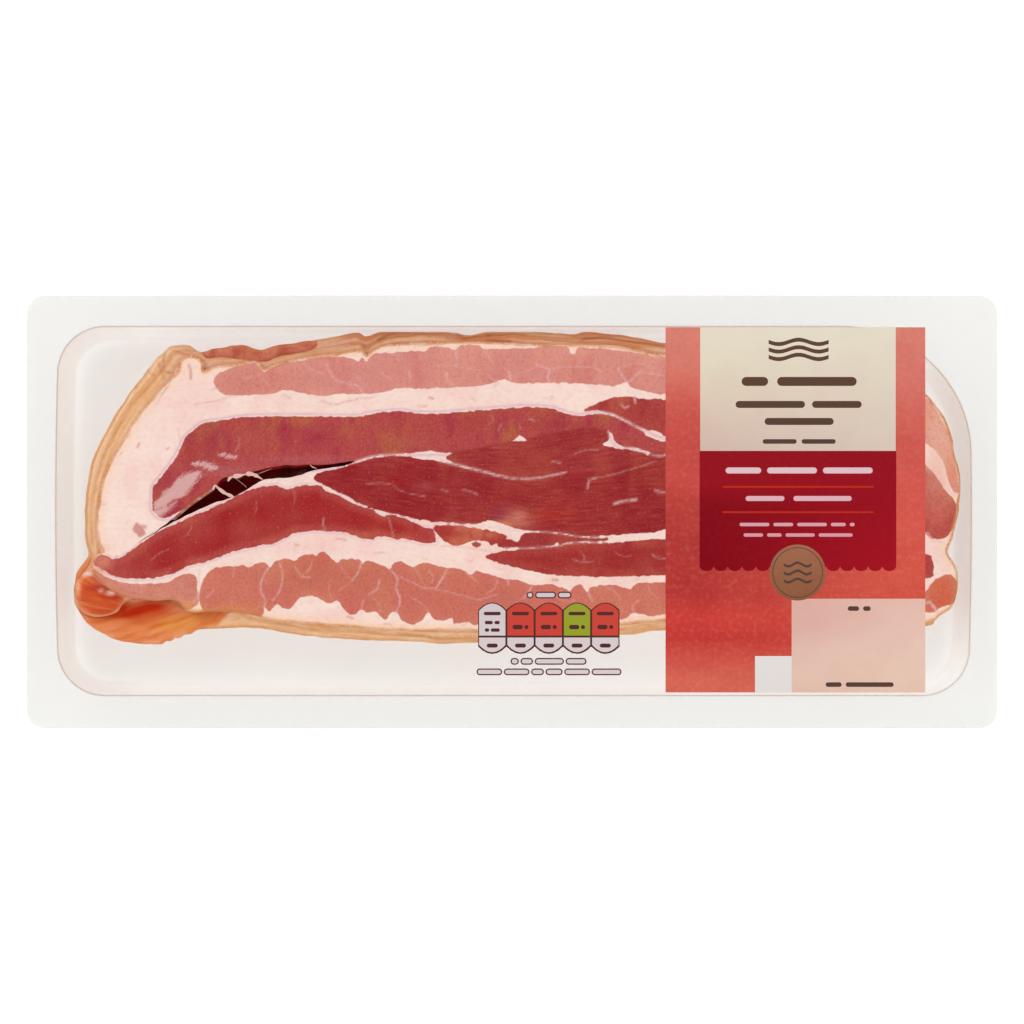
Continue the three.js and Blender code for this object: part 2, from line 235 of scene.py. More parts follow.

# The inks: stops down the left side and down the right, each a pixel row and a colour, then how strongly the
# ink is mottled, its darker cloudy patches partly painted shade where the film undulates, and how rough.
LABEL_INKS = {
    "coral": (
        [(332, (219, 130, 115)), (368, (217, 122, 107)), (404, (209, 93, 82)), (440, (198, 78, 71)),
         (476, (204, 80, 72)), (500, (190, 68, 61)), (540, (180, 58, 54)), (592, (183, 56, 52)),
         (618, (207, 65, 57)), (638, (196, 58, 54)), (656, (207, 80, 69)), (680, (216, 103, 86))],
        [(332, (221, 131, 115)), (386, (215, 114, 102)), (440, (209, 93, 83)), (500, (215, 89, 78)),
         (592, (214, 87, 71)), (640, (203, 72, 62)), (680, (216, 101, 84))],
        0.5),
    "cream": (
        [(333, (230, 221, 200)), (361, (228, 217, 194)), (389, (224, 207, 184)), (417, (219, 196, 179)),
         (447, (210, 186, 172))],
        [(333, (230, 221, 201)), (389, (225, 211, 193)), (447, (218, 200, 185))],
        0.15),
    "crimson": (
        [(456, (148, 21, 32)), (482, (151, 20, 32)), (506, (132, 14, 26)), (564, (129, 11, 23))],
        [(456, (151, 20, 35)), (500, (155, 18, 33)), (564, (165, 20, 34))],
        0.04, 0.4),
    "blush": (
        [(604, (215, 163, 152)), (630, (212, 162, 151)), (650, (222, 183, 171)), (676, (226, 188, 173)),
         (690, (221, 183, 167))],
        [(604, (229, 188, 174)), (646, (232, 197, 181)), (690, (231, 198, 178))],
        0.2),
    "orange": ([(480, (190, 48, 26)), (520, (184, 46, 28))],),
    "brown": ([(340, (96, 70, 54)), (445, (90, 64, 56))],),
    "pale": ([(660, (228, 222, 218)), (690, (227, 221, 217))],),
    "kraft": ([(545, (160, 106, 78)), (600, (140, 88, 61))], None, 0.2),
    "rose": ([(465, (226, 194, 198)), (540, (214, 150, 160))],),
}
PANEL_INKS = {
    "ink": ([(600, (86, 48, 48)), (650, (84, 46, 46))],),
    "white": ([(600, (210, 198, 202)), (650, (218, 204, 204))],),
    "red": ([(600, (200, 72, 60)), (630, (204, 70, 58))],),
    "green": ([(600, (154, 158, 52)), (630, (150, 160, 44))],),
}
CELL_INKS = ("white", "red", "red", "green", "red")
PRINT_TONE = 0.955  # the inks are this much darker than they look, as the light on the label is strong

# Lighting.
WORLD_STRENGTH = 1.0
OVERHEAD_STRENGTH = 0.04
DIM_FROM = 0.9
DIM_TO = 0.955
TABLE_GLOW = 0.8
TABLE_HALF = 4000
TABLE_TOP = -0.2
CAMERA_DISTANCE = 1.2
FRAME_PIXELS = 1024


def on_pack(points):
    """Photograph pixels as millimetres on the pack."""
    from_middle = np.asarray(points, dtype=float) - PHOTO_MIDDLE
    return np.stack([from_middle[..., 0] * PIXEL, -from_middle[..., 1] * PIXEL], axis=-1)


def linear(colour):
    """An sRGB colour of 0 to 255 as linear light."""
    share = np.asarray(colour, dtype=float) / 255
    return np.where(share <= 0.04045, share / 12.92, ((share + 0.055) / 1.055) ** 2.4)


def smoothstep(low, high, value):
    share = np.clip((value - low) / (high - low), 0, 1)
    return share * share * (3 - 2 * share)


def flowing(points, closed=False, step=0.6):
    """A smooth line through the points, as points about one step apart."""
    points = np.asarray(points, dtype=float)
    if closed:
        padded = np.vstack([points[-1], points, points[0], points[1]])
    else:
        padded = np.vstack([2 * points[0] - points[1], points, 2 * points[-1] - points[-2]])
    line = []
    for before, start, end, after in zip(padded, padded[1:], padded[2:], padded[3:]):
        count = max(int(np.linalg.norm(end - start) / step), 1)
        share = (np.arange(count) / count)[:, None]
        line.append(
            start
            + 0.5 * share * (end - before)
            + share**2 * (before - 2.5 * start + 2 * end - 0.5 * after)
            + share**3 * (1.5 * (start - end) + 0.5 * (after - before))
        )
    if not closed:
        line.append(points[-1:])
    return np.vstack(line)


def cut_at(line, shares):
    """The points of a line at these shares of its length."""
    walked = np.concatenate([[0], np.cumsum(np.linalg.norm(np.diff(line, axis=0), axis=1))])
    wanted = shares * walked[-1]
    return np.stack([np.interp(wanted, walked, line[:, k]) for k in range(line.shape[1])], axis=1)


def distance_to(line, at, closed=False):
    """How far each place is from the line."""
    ends = np.roll(line, -1, axis=0) if closed else line[1:]
    best = np.full(len(at), np.inf)
    for start, end in zip(line, ends):
        run = end - start
        share = np.clip(((at - start) @ run) / max(run @ run, 1e-12), 0, 1)
        gap = at - start - share[:, None] * run
        best = np.minimum(best, gap[:, 0] ** 2 + gap[:, 1] ** 2)
    return np.sqrt(best)


def is_inside(ring, at):
    odd = np.zeros(len(at), dtype=bool)
    for (ax, ay), (bx, by) in zip(ring, np.roll(ring, -1, axis=0)):
        if ay != by:
            crossing = (bx - ax) * (at[:, 1] - ay) / (by - ay) + ax
            odd ^= ((ay > at[:, 1]) != (by > at[:, 1])) & (at[:, 0] < crossing)
    return odd


def depth_in(ring, at):
    """How far inside the ring each place is, negative outside, and no more than the reach either way."""
    near = np.all((at > ring.min(0) - FIELD_REACH) & (at < ring.max(0) + FIELD_REACH), axis=1)
    depth = np.full(len(at), -FIELD_REACH)
    if near.any():
        some = at[near]
        away = distance_to(ring, some, closed=True)
        depth[near] = np.clip(np.where(is_inside(ring, some), away, -away), -FIELD_REACH, FIELD_REACH)
    return depth


def scatter(cell, seed):
    """A repeatable number from 0 to 1 for each whole-numbered place."""
    x = cell[..., 0].astype(np.int64)
    y = cell[..., 1].astype(np.int64)
    mixed = (x * 374761393 + y * 668265263 + seed * 974634777) & 0x7FFFFFFF
    mixed = ((mixed ^ (mixed >> 13)) * 1274126177) & 0x7FFFFFFF
    return ((mixed ^ (mixed >> 16)) & 0xFFFF) / 65535.0


def mottle(at, size, seed=0):
    """Smooth noise from 0 to 1 whose patches are about this many millimetres across."""
    scaled = at / size
    cell = np.floor(scaled)
    share = scaled - cell
    share = share * share * (3 - 2 * share)
    corner = [scatter(cell + np.array(step), seed) for step in ((0, 0), (1, 0), (0, 1), (1, 1))]
    low = corner[0] + (corner[1] - corner[0]) * share[..., 0]
    high = corner[2] + (corner[3] - corner[2]) * share[..., 0]
    return low + (high - low) * share[..., 1]


def layered_mottle(at, size, seed=0):
    """Mottle with finer mottle over it."""
    layers = ((0.6, 1.0, 0), (0.28, 2.1, 5), (0.12, 4.3, 9))
    return sum(share * mottle(at, size / finer, seed + k) for share, finer, k in layers)


class Muscle:
    """A patch of lean meat: its outline, its tones and how its fibres run.

    The tones are the common one, a browner one and a deeper red. The core is how far its inside turns to the
    deep tone, the streak how strongly its fibres show, and the net how strongly dark threads cross it. The
    run is how many fibres there are to a millimetre along and across the rasher, once turned by the tilt."""

    def __init__(self, outline, tone, warm, deep, core=0.0, streak=0.3, net=0.0, run=(1.3, 0.3), tilt=0.0,
                 patch=6.0):
        self.ring = flowing(on_pack(outline), closed=True)
        self.tone = linear(tone)
        self.warm = linear(warm)
        self.deep = linear(deep)
        self.core = core
        self.streak = streak
        self.net = net
        self.run = np.array(run)
        self.tilt = math.radians(tilt)
        self.patch = patch

    def colour_at(self, at, depth):
        warmth = smoothstep(0.42, 0.72, layered_mottle(at * [1.0, 0.7], self.patch, 31))
        deep = 0.7 * smoothstep(0.48, 0.8, layered_mottle(at * [1.15, 0.6], self.patch * 0.8, 57))
        inside = self.core * smoothstep(0.5, 2.8, depth) * (0.5 + 0.7 * mottle(at, 5.0, 77))
        colour = blend(self.tone, self.warm, warmth)
        return blend(colour, self.deep, np.clip(np.maximum(deep, inside), 0, 1))

    def grain_at(self, at):
        c, s = math.cos(self.tilt), math.sin(self.tilt)
        bent = at[:, 1] - np.interp(at[:, 0], *on_pack(FLOW).T) if self.streak > 0.9 else at[:, 1]
        return np.column_stack([c * at[:, 0] + s * bent, -s * at[:, 0] + c * bent]) * self.run


def blend(first, second, share):
    """Mixes the second colour into the first. Either may be one colour or one for each place."""
    return first + (second - first) * share[:, None]


ALONG = (0.2, 1.5)
FLOW = [(312, 478), (380, 478), (450, 490), (530, 500), (600, 498), (665, 490), (930, 515)]

MUSCLES = {
    "skin side": Muscle(
        [(213, 383), (216, 374), (224, 369.5), (236, 366), (254, 362), (263, 371), (275, 365),
         (300, 359.5), (330, 356), (350, 357), (357, 361), (362, 356), (366, 361), (373, 353), (388, 352),
         (415, 350.5), (425, 351), (431, 346), (446, 347), (455, 349), (460, 344.5), (478, 344.5),
         (484, 348), (512, 348), (534, 347.5), (541, 345.5), (566, 346), (569, 353), (575, 353),
         (577, 347), (596, 347.5), (620, 350), (665, 356.5), (740, 364), (830, 372), (900, 386),
         (925, 397), (938, 412), (950, 440), (957, 475), (958, 492), (951, 486), (941, 458), (925, 443),
         (880, 420), (800, 400), (720, 394), (665, 394), (652, 392), (633, 387.5), (626, 382),
         (614, 385.5), (603, 384.4), (565, 382.5), (518, 382.5), (503, 379.5), (488, 384), (459, 386.3),
         (415, 388.2), (398, 387), (382, 392), (340, 393.3), (322, 395.3), (300, 392.7), (284, 389),
         (272, 393.5), (250, 394), (225, 394)],
        (215, 143, 131), (220, 151, 134), (208, 123, 114), core=0.15, streak=0.25, run=(0.9, 0.5), patch=9.0),
    "upper": Muscle(
        [(152, 495), (153, 486), (163, 473), (172, 461), (180, 447), (184, 438), (196, 427), (203, 422.5),
         (215, 420.7), (249, 416.4), (300, 415.7), (357, 416.3), (365, 414.2), (389, 411.2), (406, 411.2),
         (415, 413), (440, 413), (478, 410), (512, 407.4), (531, 406.5), (550, 408), (566, 413),
         (578, 415.6), (597, 413), (608, 414.5), (617, 417.5), (631, 424.5), (646, 432.5), (665, 440.5),
         (740, 455), (800, 470), (740, 468), (665, 453), (656, 453.5), (645, 450), (633, 447.5),
         (621, 446), (614, 441), (609, 432), (588, 428.4), (556, 433.5), (531, 438.6), (499, 444),
         (478, 448.8), (453, 452), (428, 452), (402, 453), (376, 455), (362, 459), (345, 464.5),
         (330, 466.5), (304, 468.5), (281, 470), (262, 474), (241, 479), (226, 483), (214, 489),
         (200, 497), (186, 506), (172, 515), (160, 517), (152, 509)],
        (181, 78, 74), (184, 96, 70), (166, 52, 70), streak=0.4, net=1.0, run=(1.3, 0.5), tilt=-14),
    "lower": Muscle(
        [(93, 562.5), (98, 555), (106, 556), (114, 559), (129, 551.5), (140, 543), (157, 531.5),
         (172, 524.5), (198, 513), (224, 502), (243, 491.5), (258, 487), (275, 485), (286, 489),
         (293, 486.9), (308, 484.8), (321, 485.7), (325, 491), (331, 491.8), (342, 496.8), (356, 504.2),
         (371, 509.5), (384, 516), (390, 514), (408, 519.5), (422, 526.6), (431, 529), (436, 538),
         (436, 542.5), (421, 542.5), (402, 538), (396, 539.5), (391, 537.4), (377, 536), (371, 539.5),
         (355, 536), (345, 532.3), (319, 530.4), (300, 531.5), (296, 531.7), (275, 542), (255, 546.3),
         (232, 551.5), (206, 561), (189, 565.2), (167, 574.7), (146, 578), (125, 578), (112, 574.7),
         (100, 568)],
        (178, 73, 68), (186, 88, 74), (162, 37, 37), core=0.85, streak=0.3, net=0.3, run=(1.3, 0.4), tilt=12,
        patch=7.0),
    "pale strip": Muscle(
        [(93, 569), (103, 575.6), (120, 581.6), (146, 583.3), (167, 581.6), (180, 575), (190, 573.5),
         (195, 577), (196.6, 590), (197, 604), (186, 609), (170, 606), (153, 604), (130, 601), (112, 594),
         (97, 582)],
        (210, 134, 115), (216, 148, 126), (200, 112, 98), streak=0.45, run=(0.3, 1.2), tilt=-5, patch=6.0),
    "belly side": Muscle(
        [(199, 590), (203, 580), (210, 569.5), (222, 566), (235, 566.5), (242, 565), (248, 567),
         (255, 563), (265, 562), (269, 566.5), (276, 560), (287, 558.4), (293, 560), (301, 555),
         (310, 553.5), (315, 556), (319, 551.4), (324, 550.8), (329, 556), (337, 562), (340, 559),
         (359, 559), (361, 564), (367, 560.4), (382, 565), (389, 568), (393, 562), (400, 561), (413, 567),
         (418, 563), (428, 563), (447, 568), (459, 568), (471, 574.5), (476, 570.6), (491, 574.4),
         (505, 579), (517, 579), (531, 585), (538, 584.6), (551, 584), (562, 587), (569, 591), (573, 586),
         (581, 584.6), (587, 592), (592, 586), (614, 584.6), (630, 588.4), (636, 583.3), (665, 582),
         (760, 584), (860, 590), (922, 592), (930, 584), (939, 577), (948, 574), (956, 579), (958, 592),
         (953, 603), (940, 607), (925, 612), (840, 612), (740, 610), (665, 613.5), (652, 616), (633, 612),
         (620, 619), (560, 622), (500, 624), (477, 624.5), (466, 622.2), (454, 623.5), (451, 617),
         (442, 621), (432, 617.8), (428, 612), (419, 621.6), (410, 623.5), (401, 619), (397, 612),
         (390, 613), (385, 619), (378, 615), (374, 610.5), (366, 612.5), (361, 609), (351, 614.6),
         (342, 607.6), (337, 600.5), (329, 602.4), (311, 596), (299, 598), (291, 607.5), (281, 607.5),
         (277, 603.5), (268, 611), (264, 606), (260, 615), (240, 616), (225, 615), (210, 613),
         (200, 606)],
        (205, 118, 101), (207, 128, 103), (199, 98, 84), core=0.3, streak=0.25, run=(1.2, 0.5), tilt=8,
        patch=10.0),
    "middle": Muscle(
        [(312, 478), (319, 472), (338, 468), (357, 462), (371, 458), (389, 456), (406, 456), (415, 457.5),
         (434, 460), (453, 464.4), (472, 468.6), (487, 472), (505, 475.6), (531, 476.5), (565, 470),
         (600, 466), (640, 458), (665, 450), (740, 470), (830, 480), (900, 500), (925, 512), (925, 529),
         (860, 530), (740, 530), (665, 529), (652, 532), (620, 534), (604, 535.2), (595, 536.2),
         (582, 536.2), (569, 534), (556, 532), (536, 530.7), (518, 528.5), (499, 522.5), (489, 520.5),
         (478, 523.3), (463, 523), (434, 521.3), (422, 519.5), (408, 516.3), (389, 511.8), (376, 509.4),
         (357, 501.7), (342, 494), (332, 489.6), (319, 482)],
        (159, 48, 49), (168, 64, 56), (148, 31, 39), core=0.3, streak=1.0, run=ALONG, patch=8.0),
    "over the seam": Muscle(
        [(445, 456.5), (453, 449), (478, 445.5), (499, 441), (531, 435), (556, 430), (588, 425),
         (607, 429), (609, 439), (605, 443.5), (613, 447), (634, 450), (647, 454), (662, 456), (640, 466),
         (600, 474), (563, 476), (531, 479), (505, 477), (495, 474), (472, 468.4), (456, 463.6)],
        (165, 60, 57), (174, 74, 62), (152, 42, 48), core=0.3, streak=1.0, run=ALONG, tilt=6, patch=8.0),
    "wedge": Muscle(
        [(584, 410.6), (588, 406.7), (600, 401.6), (614, 397), (630, 396.5), (646, 398.4), (665, 399),
         (740, 408), (820, 420), (880, 444), (925, 464), (943, 487), (956, 503), (955.5, 520), (950, 532),
         (942, 538.5), (933, 538.5), (925, 532), (900, 498), (830, 478), (760, 462), (700, 446),
         (665, 436), (652, 431), (639, 427), (630, 423), (618, 416), (607, 412), (597, 410)],
        (176, 72, 66), (184, 90, 72), (162, 52, 54), core=0.3, streak=0.5, run=(1.0, 0.5), tilt=30,
        patch=7.0),
    "sliver": Muscle(
        [(433, 526.5), (441, 524.6), (459, 525), (472, 527), (485, 529), (502, 533.5), (507, 537),
         (499, 542), (491, 544.5), (484, 540), (470, 541), (459, 545), (448, 543), (438, 535)],
        (172, 62, 56), (200, 108, 84), (160, 40, 44), core=0.4),
    "second sliver": Muscle(
        [(497, 544), (505, 538.5), (518, 541), (520, 536.5), (526, 532.6), (544, 532), (559, 533.6),
         (590, 537.4), (608, 537.6), (604, 540.6), (569, 541.8), (556, 545), (540, 546.6), (506, 547.4)],
        (162, 56, 54), (176, 76, 64), (148, 38, 42), core=0.3),
    "dot": Muscle(
        [(471, 543), (476, 541.2), (481, 544.2), (476, 547)],
        (172, 76, 72), (176, 80, 70), (160, 60, 60)),
    "lower dark": Muscle(
        [(485, 556.5), (495, 552.8), (518, 548.8), (551, 546.2), (574, 542.4), (608, 542.4), (639, 540),
         (665, 539), (760, 540), (860, 548), (925, 554), (932, 558), (933, 571), (925, 579), (860, 578),
         (760, 574), (665, 574.5), (640, 576), (595, 576), (551, 574.5), (535, 571), (518, 567.5),
         (499, 562.5)],
        (172, 66, 59), (178, 78, 64), (158, 38, 40), core=0.7, streak=0.35, net=0.3, run=(1.1, 0.6), tilt=20,
        patch=7.0),
}

# Pale marbling inside the lean, taken out of it.
MARBLING = [
    flowing(on_pack(ring), closed=True)
    for ring in (
        [(412, 453), (429, 450.5), (440, 452), (452, 452.8), (444, 457), (452, 462), (430, 457.5)],
        [(512, 440.4), (516.5, 437.6), (519, 434.4), (521.5, 436), (527, 440.2), (519, 440.4)],
        [(602, 444), (607, 440.5), (612, 442), (616, 446), (608, 446)],
        [(644, 433), (652, 429.5), (662, 434), (665, 441), (650, 437)],
        [(608, 536), (625, 534.6), (645, 534.5), (665, 531), (665, 538.5), (640, 538), (620, 540.5)],
        [(553, 545.5), (557, 541.5), (560, 544.5)],
    )
]
# Feathery patches of fat in the left end of the upper lean.
WISPS = [
    flowing(on_pack(ring), closed=True)
    for ring in (
        [(153, 504), (160, 493), (170, 485), (179, 476), (190, 470.5), (201, 471), (196, 480), (189, 490),
         (182, 497), (172, 500), (166, 506), (158, 510), (151, 508)],
        [(149, 511), (158, 507), (172, 502), (178, 501), (166, 512), (156, 519)],
        [(190, 463), (203, 460), (217, 465), (212, 470), (200, 467)],
        [(217, 454), (226, 453), (236, 456), (230, 459)],
    )
]

# Thin lines of gristle on the lean, each with its half width in pixels.
SEAMS = [
    (1.0, [(355, 461), (371, 456), (389, 454), (415, 454.5), (430, 456)]),
    (1.2, [(440, 460), (453, 463.5), (472, 468.5), (500, 475.5)]),
    (1.0, [(500, 475.5), (512, 477.8), (531, 478), (548, 475.5), (565, 472)]),
    (1.3, [(583, 412.5), (597, 411.5), (608, 413), (618, 416.5), (631, 423.5), (646, 431), (665, 438)]),
    (1.0, [(608, 431), (611, 440), (619, 446.5), (633, 448), (646, 452), (658, 455.5), (668, 453.5)]),
    (0.5, [(575, 453), (583, 450), (597, 449)]),
    (0.45, [(365, 483.5), (380, 482.5), (391, 484), (398, 489), (409, 493), (425, 496)]),
    (0.5, [(587, 479), (598, 477), (612, 474), (630, 469), (655, 461)]),
    (0.8, [(587, 488), (589, 479.5), (596, 477.5)]),
    (1.3, [(614, 503), (622, 501), (636, 499)]),
    (0.75, [(500, 527.5), (520, 530.5), (540, 531.4), (560, 532.8), (582, 536.6), (612, 536.4)]),
    (0.75, [(500, 547.8), (530, 547.3), (556, 545.6), (575, 542.2), (606, 541.6)]),
    (0.9, [(438, 522.5), (460, 524.3), (480, 525.6), (500, 527.5)]),
    (0.5, [(388, 516), (390, 525), (393, 536)]),
    (0.6, [(323, 518), (322.5, 525), (324, 530)]),
    (0.4, [(234, 451), (238, 445), (238, 437)]),
    (0.4, [(490, 414), (493, 420), (488, 424)]),
    (0.45, [(518, 422), (520, 428)]),
    (0.8, [(621, 404), (624, 407.5), (628, 406)]),
    (1.0, [(634, 395), (635, 402)]),
    (1.2, [(928, 533), (932, 539), (941, 541.5)]),
    (1.6, [(925, 597), (931, 603), (937, 611)]),
    (0.4, [(292, 487), (294, 494), (293, 503)]),
    (0.7, [(529, 418.5), (534, 420.5)]),
    (0.5, [(498, 429), (500, 426), (501.6, 423)]),
    (0.6, [(462, 489.5), (470, 491), (477, 494)]),
    (0.5, [(441, 489), (448, 491.5)]),
    (0.9, [(655, 490), (663, 492.5)]),
    (0.6, [(552, 461), (560, 462.5)]),
    (0.45, [(580, 551), (584, 556), (583, 562)]),
    (0.45, [(572, 559), (583, 562), (593, 560.5)]),
    (0.6, [(652, 554), (656, 557), (666, 558)]),
    (0.4, [(615, 552), (622, 556), (631, 555)]),
    (0.4, [(150, 560), (158, 553), (168, 549)]),
    (0.4, [(183, 536), (189, 531), (191, 525)]),
    (0.35, [(255, 500), (256, 508), (253, 515)]),
]

# The pale walls between the lobes of the pink muscles.
LOBE_WALLS = [
    (0.6, [(485, 345), (484, 350), (489, 357), (493, 363)]),
    (0.9, [(536, 364), (543, 366.5), (549, 369), (547, 377), (549, 382)]),
    (0.5, [(512, 374), (524, 371), (537, 367)]),
    (0.8, [(504, 367), (508, 371), (510, 379)]),
    (0.6, [(549, 369), (560, 366.5), (574, 366), (592, 366.5)]),
    (0.9, [(617, 368), (622, 375), (628, 382), (634, 376), (640, 371)]),
    (0.6, [(640, 371), (652, 373), (663, 375)]),
    (0.5, [(617, 368), (628, 364), (642, 363), (656, 368)]),
    (0.8, [(456, 346), (455, 353), (458, 361), (455, 364)]),
    (0.9, [(446, 373), (447, 379), (452, 384)]),
    (0.8, [(326, 364), (330, 372), (336, 380), (350, 383), (358, 386), (362, 393)]),
    (0.9, [(408, 370), (409.5, 376)]),
    (0.5, [(436, 365), (450, 364.5), (468, 368), (480, 370)]),
    (0.6, [(388, 351), (394, 355), (399, 360)]),
    (0.6, [(378, 372), (384, 374), (392, 380)]),
    (0.5, [(419, 351), (420, 359)]),
    (0.6, [(240, 376), (246, 378), (252, 375)]),
    (0.5, [(258, 372), (262, 380), (268, 384)]),
    (1.1, [(198.6, 569), (198, 582), (197.4, 596), (193, 601)]),
    (0.6, [(234, 567), (232, 577)]),
    (0.9, [(269, 566), (261.5, 578), (260, 590), (265, 600.5), (263, 607)]),
    (0.6, [(263, 578), (268, 583)]),
    (0.8, [(279, 562.7), (282, 576), (279, 590), (272, 600)]),
    (0.7, [(294, 566), (301, 576), (309, 577)]),
    (0.6, [(213, 590), (206, 597)]),
    (0.5, [(232, 590), (230.5, 604)]),
    (0.9, [(361, 562), (357.4, 572), (352.3, 579.5)]),
    (0.5, [(352, 580), (344, 586), (338, 590)]),
    (0.8, [(379, 579.5), (376.6, 588.5), (367.6, 594)]),
    (0.9, [(387, 565.5), (394.4, 574.4), (397, 578), (395.7, 588.5), (399.5, 599), (397, 609), (395, 614)]),
    (0.7, [(394.4, 574.4), (409.7, 581), (422.5, 587), (435, 588.5)]),
    (0.9, [(446.7, 568), (444, 574.4), (438, 583.4), (435, 588.5)]),
    (0.5, [(415, 567), (422.5, 582), (425, 587)]),
    (0.6, [(435, 588.5), (450.6, 592.3), (466, 596), (479, 599), (496, 594)]),
    (0.6, [(411, 597.4), (420, 602.5), (428, 611.5)]),
    (0.6, [(467, 573), (477.4, 582)]),
    (0.7, [(362.5, 600), (361, 609)]),
    (0.5, [(330.6, 579.5), (328, 588.5), (331, 598)]),
    (0.8, [(507.4, 577), (508, 584)]),
    (0.9, [(531, 586), (527, 594), (522, 598)]),
    (0.9, [(587, 586), (588.5, 595), (592, 600)]),
    (0.6, [(606, 587), (615, 592), (620, 599)]),
    (0.7, [(634.4, 614), (632, 606), (638, 600)]),
    (0.5, [(648, 584), (650, 592), (658, 598)]),
    (0.5, [(556, 596), (566, 601), (578, 598)]),
    (0.6, [(936, 420), (940, 434), (950, 446)]),
    (0.7, [(488, 376), (497, 381)]),
    (0.7, [(650, 355), (658, 357)]),
    (0.6, [(304, 362), (312, 369), (325, 374)]),
    (0.5, [(353, 374), (360, 380), (364, 388)]),
    (0.6, [(596, 358), (594, 366), (601, 371)]),
    (0.6, [(428, 570), (433, 577), (431, 583)]),
    (0.6, [(312, 560), (309, 568), (301, 576)]),
    (0.5, [(340, 566), (345, 574), (352.3, 579.5)]),
    (0.5, [(371, 596), (378, 603), (380, 611)]),
    (0.6, [(497, 580), (494, 588), (486, 593)]),
    (0.5, [(560, 590), (564, 596)]),
    (0.5, [(612, 606), (622, 611)]),
]

# Little red vessels in the fat.
VESSELS = [
    (1.3, [(188, 364), (190, 371), (190, 378)]),
    (0.8, [(321, 400), (328, 403), (334, 404), (345, 401), (357, 399)]),
    (0.6, [(355, 398), (370, 397), (374, 396)]),
    (1.2, [(429, 397), (432, 398)]),
    (0.8, [(416, 405.5), (426, 405.5)]),
    (0.6, [(194, 404), (205, 402), (217, 400), (229, 396), (240, 395)]),
    (0.9, [(166, 449), (168, 447)]),
    (1.1, [(137, 446), (138, 443)]),
    (0.8, [(494, 383.5), (498, 383)]),
    (0.8, [(551, 395.5), (552, 397)]),
    (0.9, [(336, 538), (341, 538.5), (345, 539.5)]),
    (0.8, [(374, 552.5), (383, 552)]),
    (0.8, [(294, 544), (298, 545)]),
    (0.6, [(441, 546), (466, 547), (480, 549), (494, 552)]),
    (1.4, [(552, 579), (557, 579.5)]),
    (1.0, [(347, 616), (352, 618)]),
    (0.8, [(451, 383), (453, 385)]),
]

# Painted crease shade, in a smoked brown, along the folds of the smoked edges beside the knob and along the
# skin, and in the dark slot by the toe.
FOLD_SHADE_LINES = [
    (0.9, [(163.3, 352.7), (161.6, 359.6), (163.3, 370), (170, 372)]),
    (0.8, [(156.4, 361.3), (160, 370), (163.3, 378.5)]),
    (0.7, [(146, 370), (153, 375)]),
    (0.8, [(172, 349.3), (180.5, 352.7), (188, 354.4)]),
    (1.4, [(376.5, 340), (381.6, 336.6), (389.3, 332.8), (395, 330.8)]),
    (1.2, [(458, 333), (464.6, 338), (475, 335.5)]),
    (1.4, [(486, 338.5), (496.5, 340), (509, 340.5)]),
    (1.2, [(487, 333), (489, 335)]),
    (1.5, [(581, 339), (595, 336.8), (607.6, 337.5), (625.5, 340.4), (646, 342.3), (664, 345)]),
    (1.6, [(158, 600.5), (168, 601)]),
    (0.9, [(125, 609), (140, 604), (150, 601)]),
    (0.8, [(84, 580), (95, 588), (112, 590)]),
]

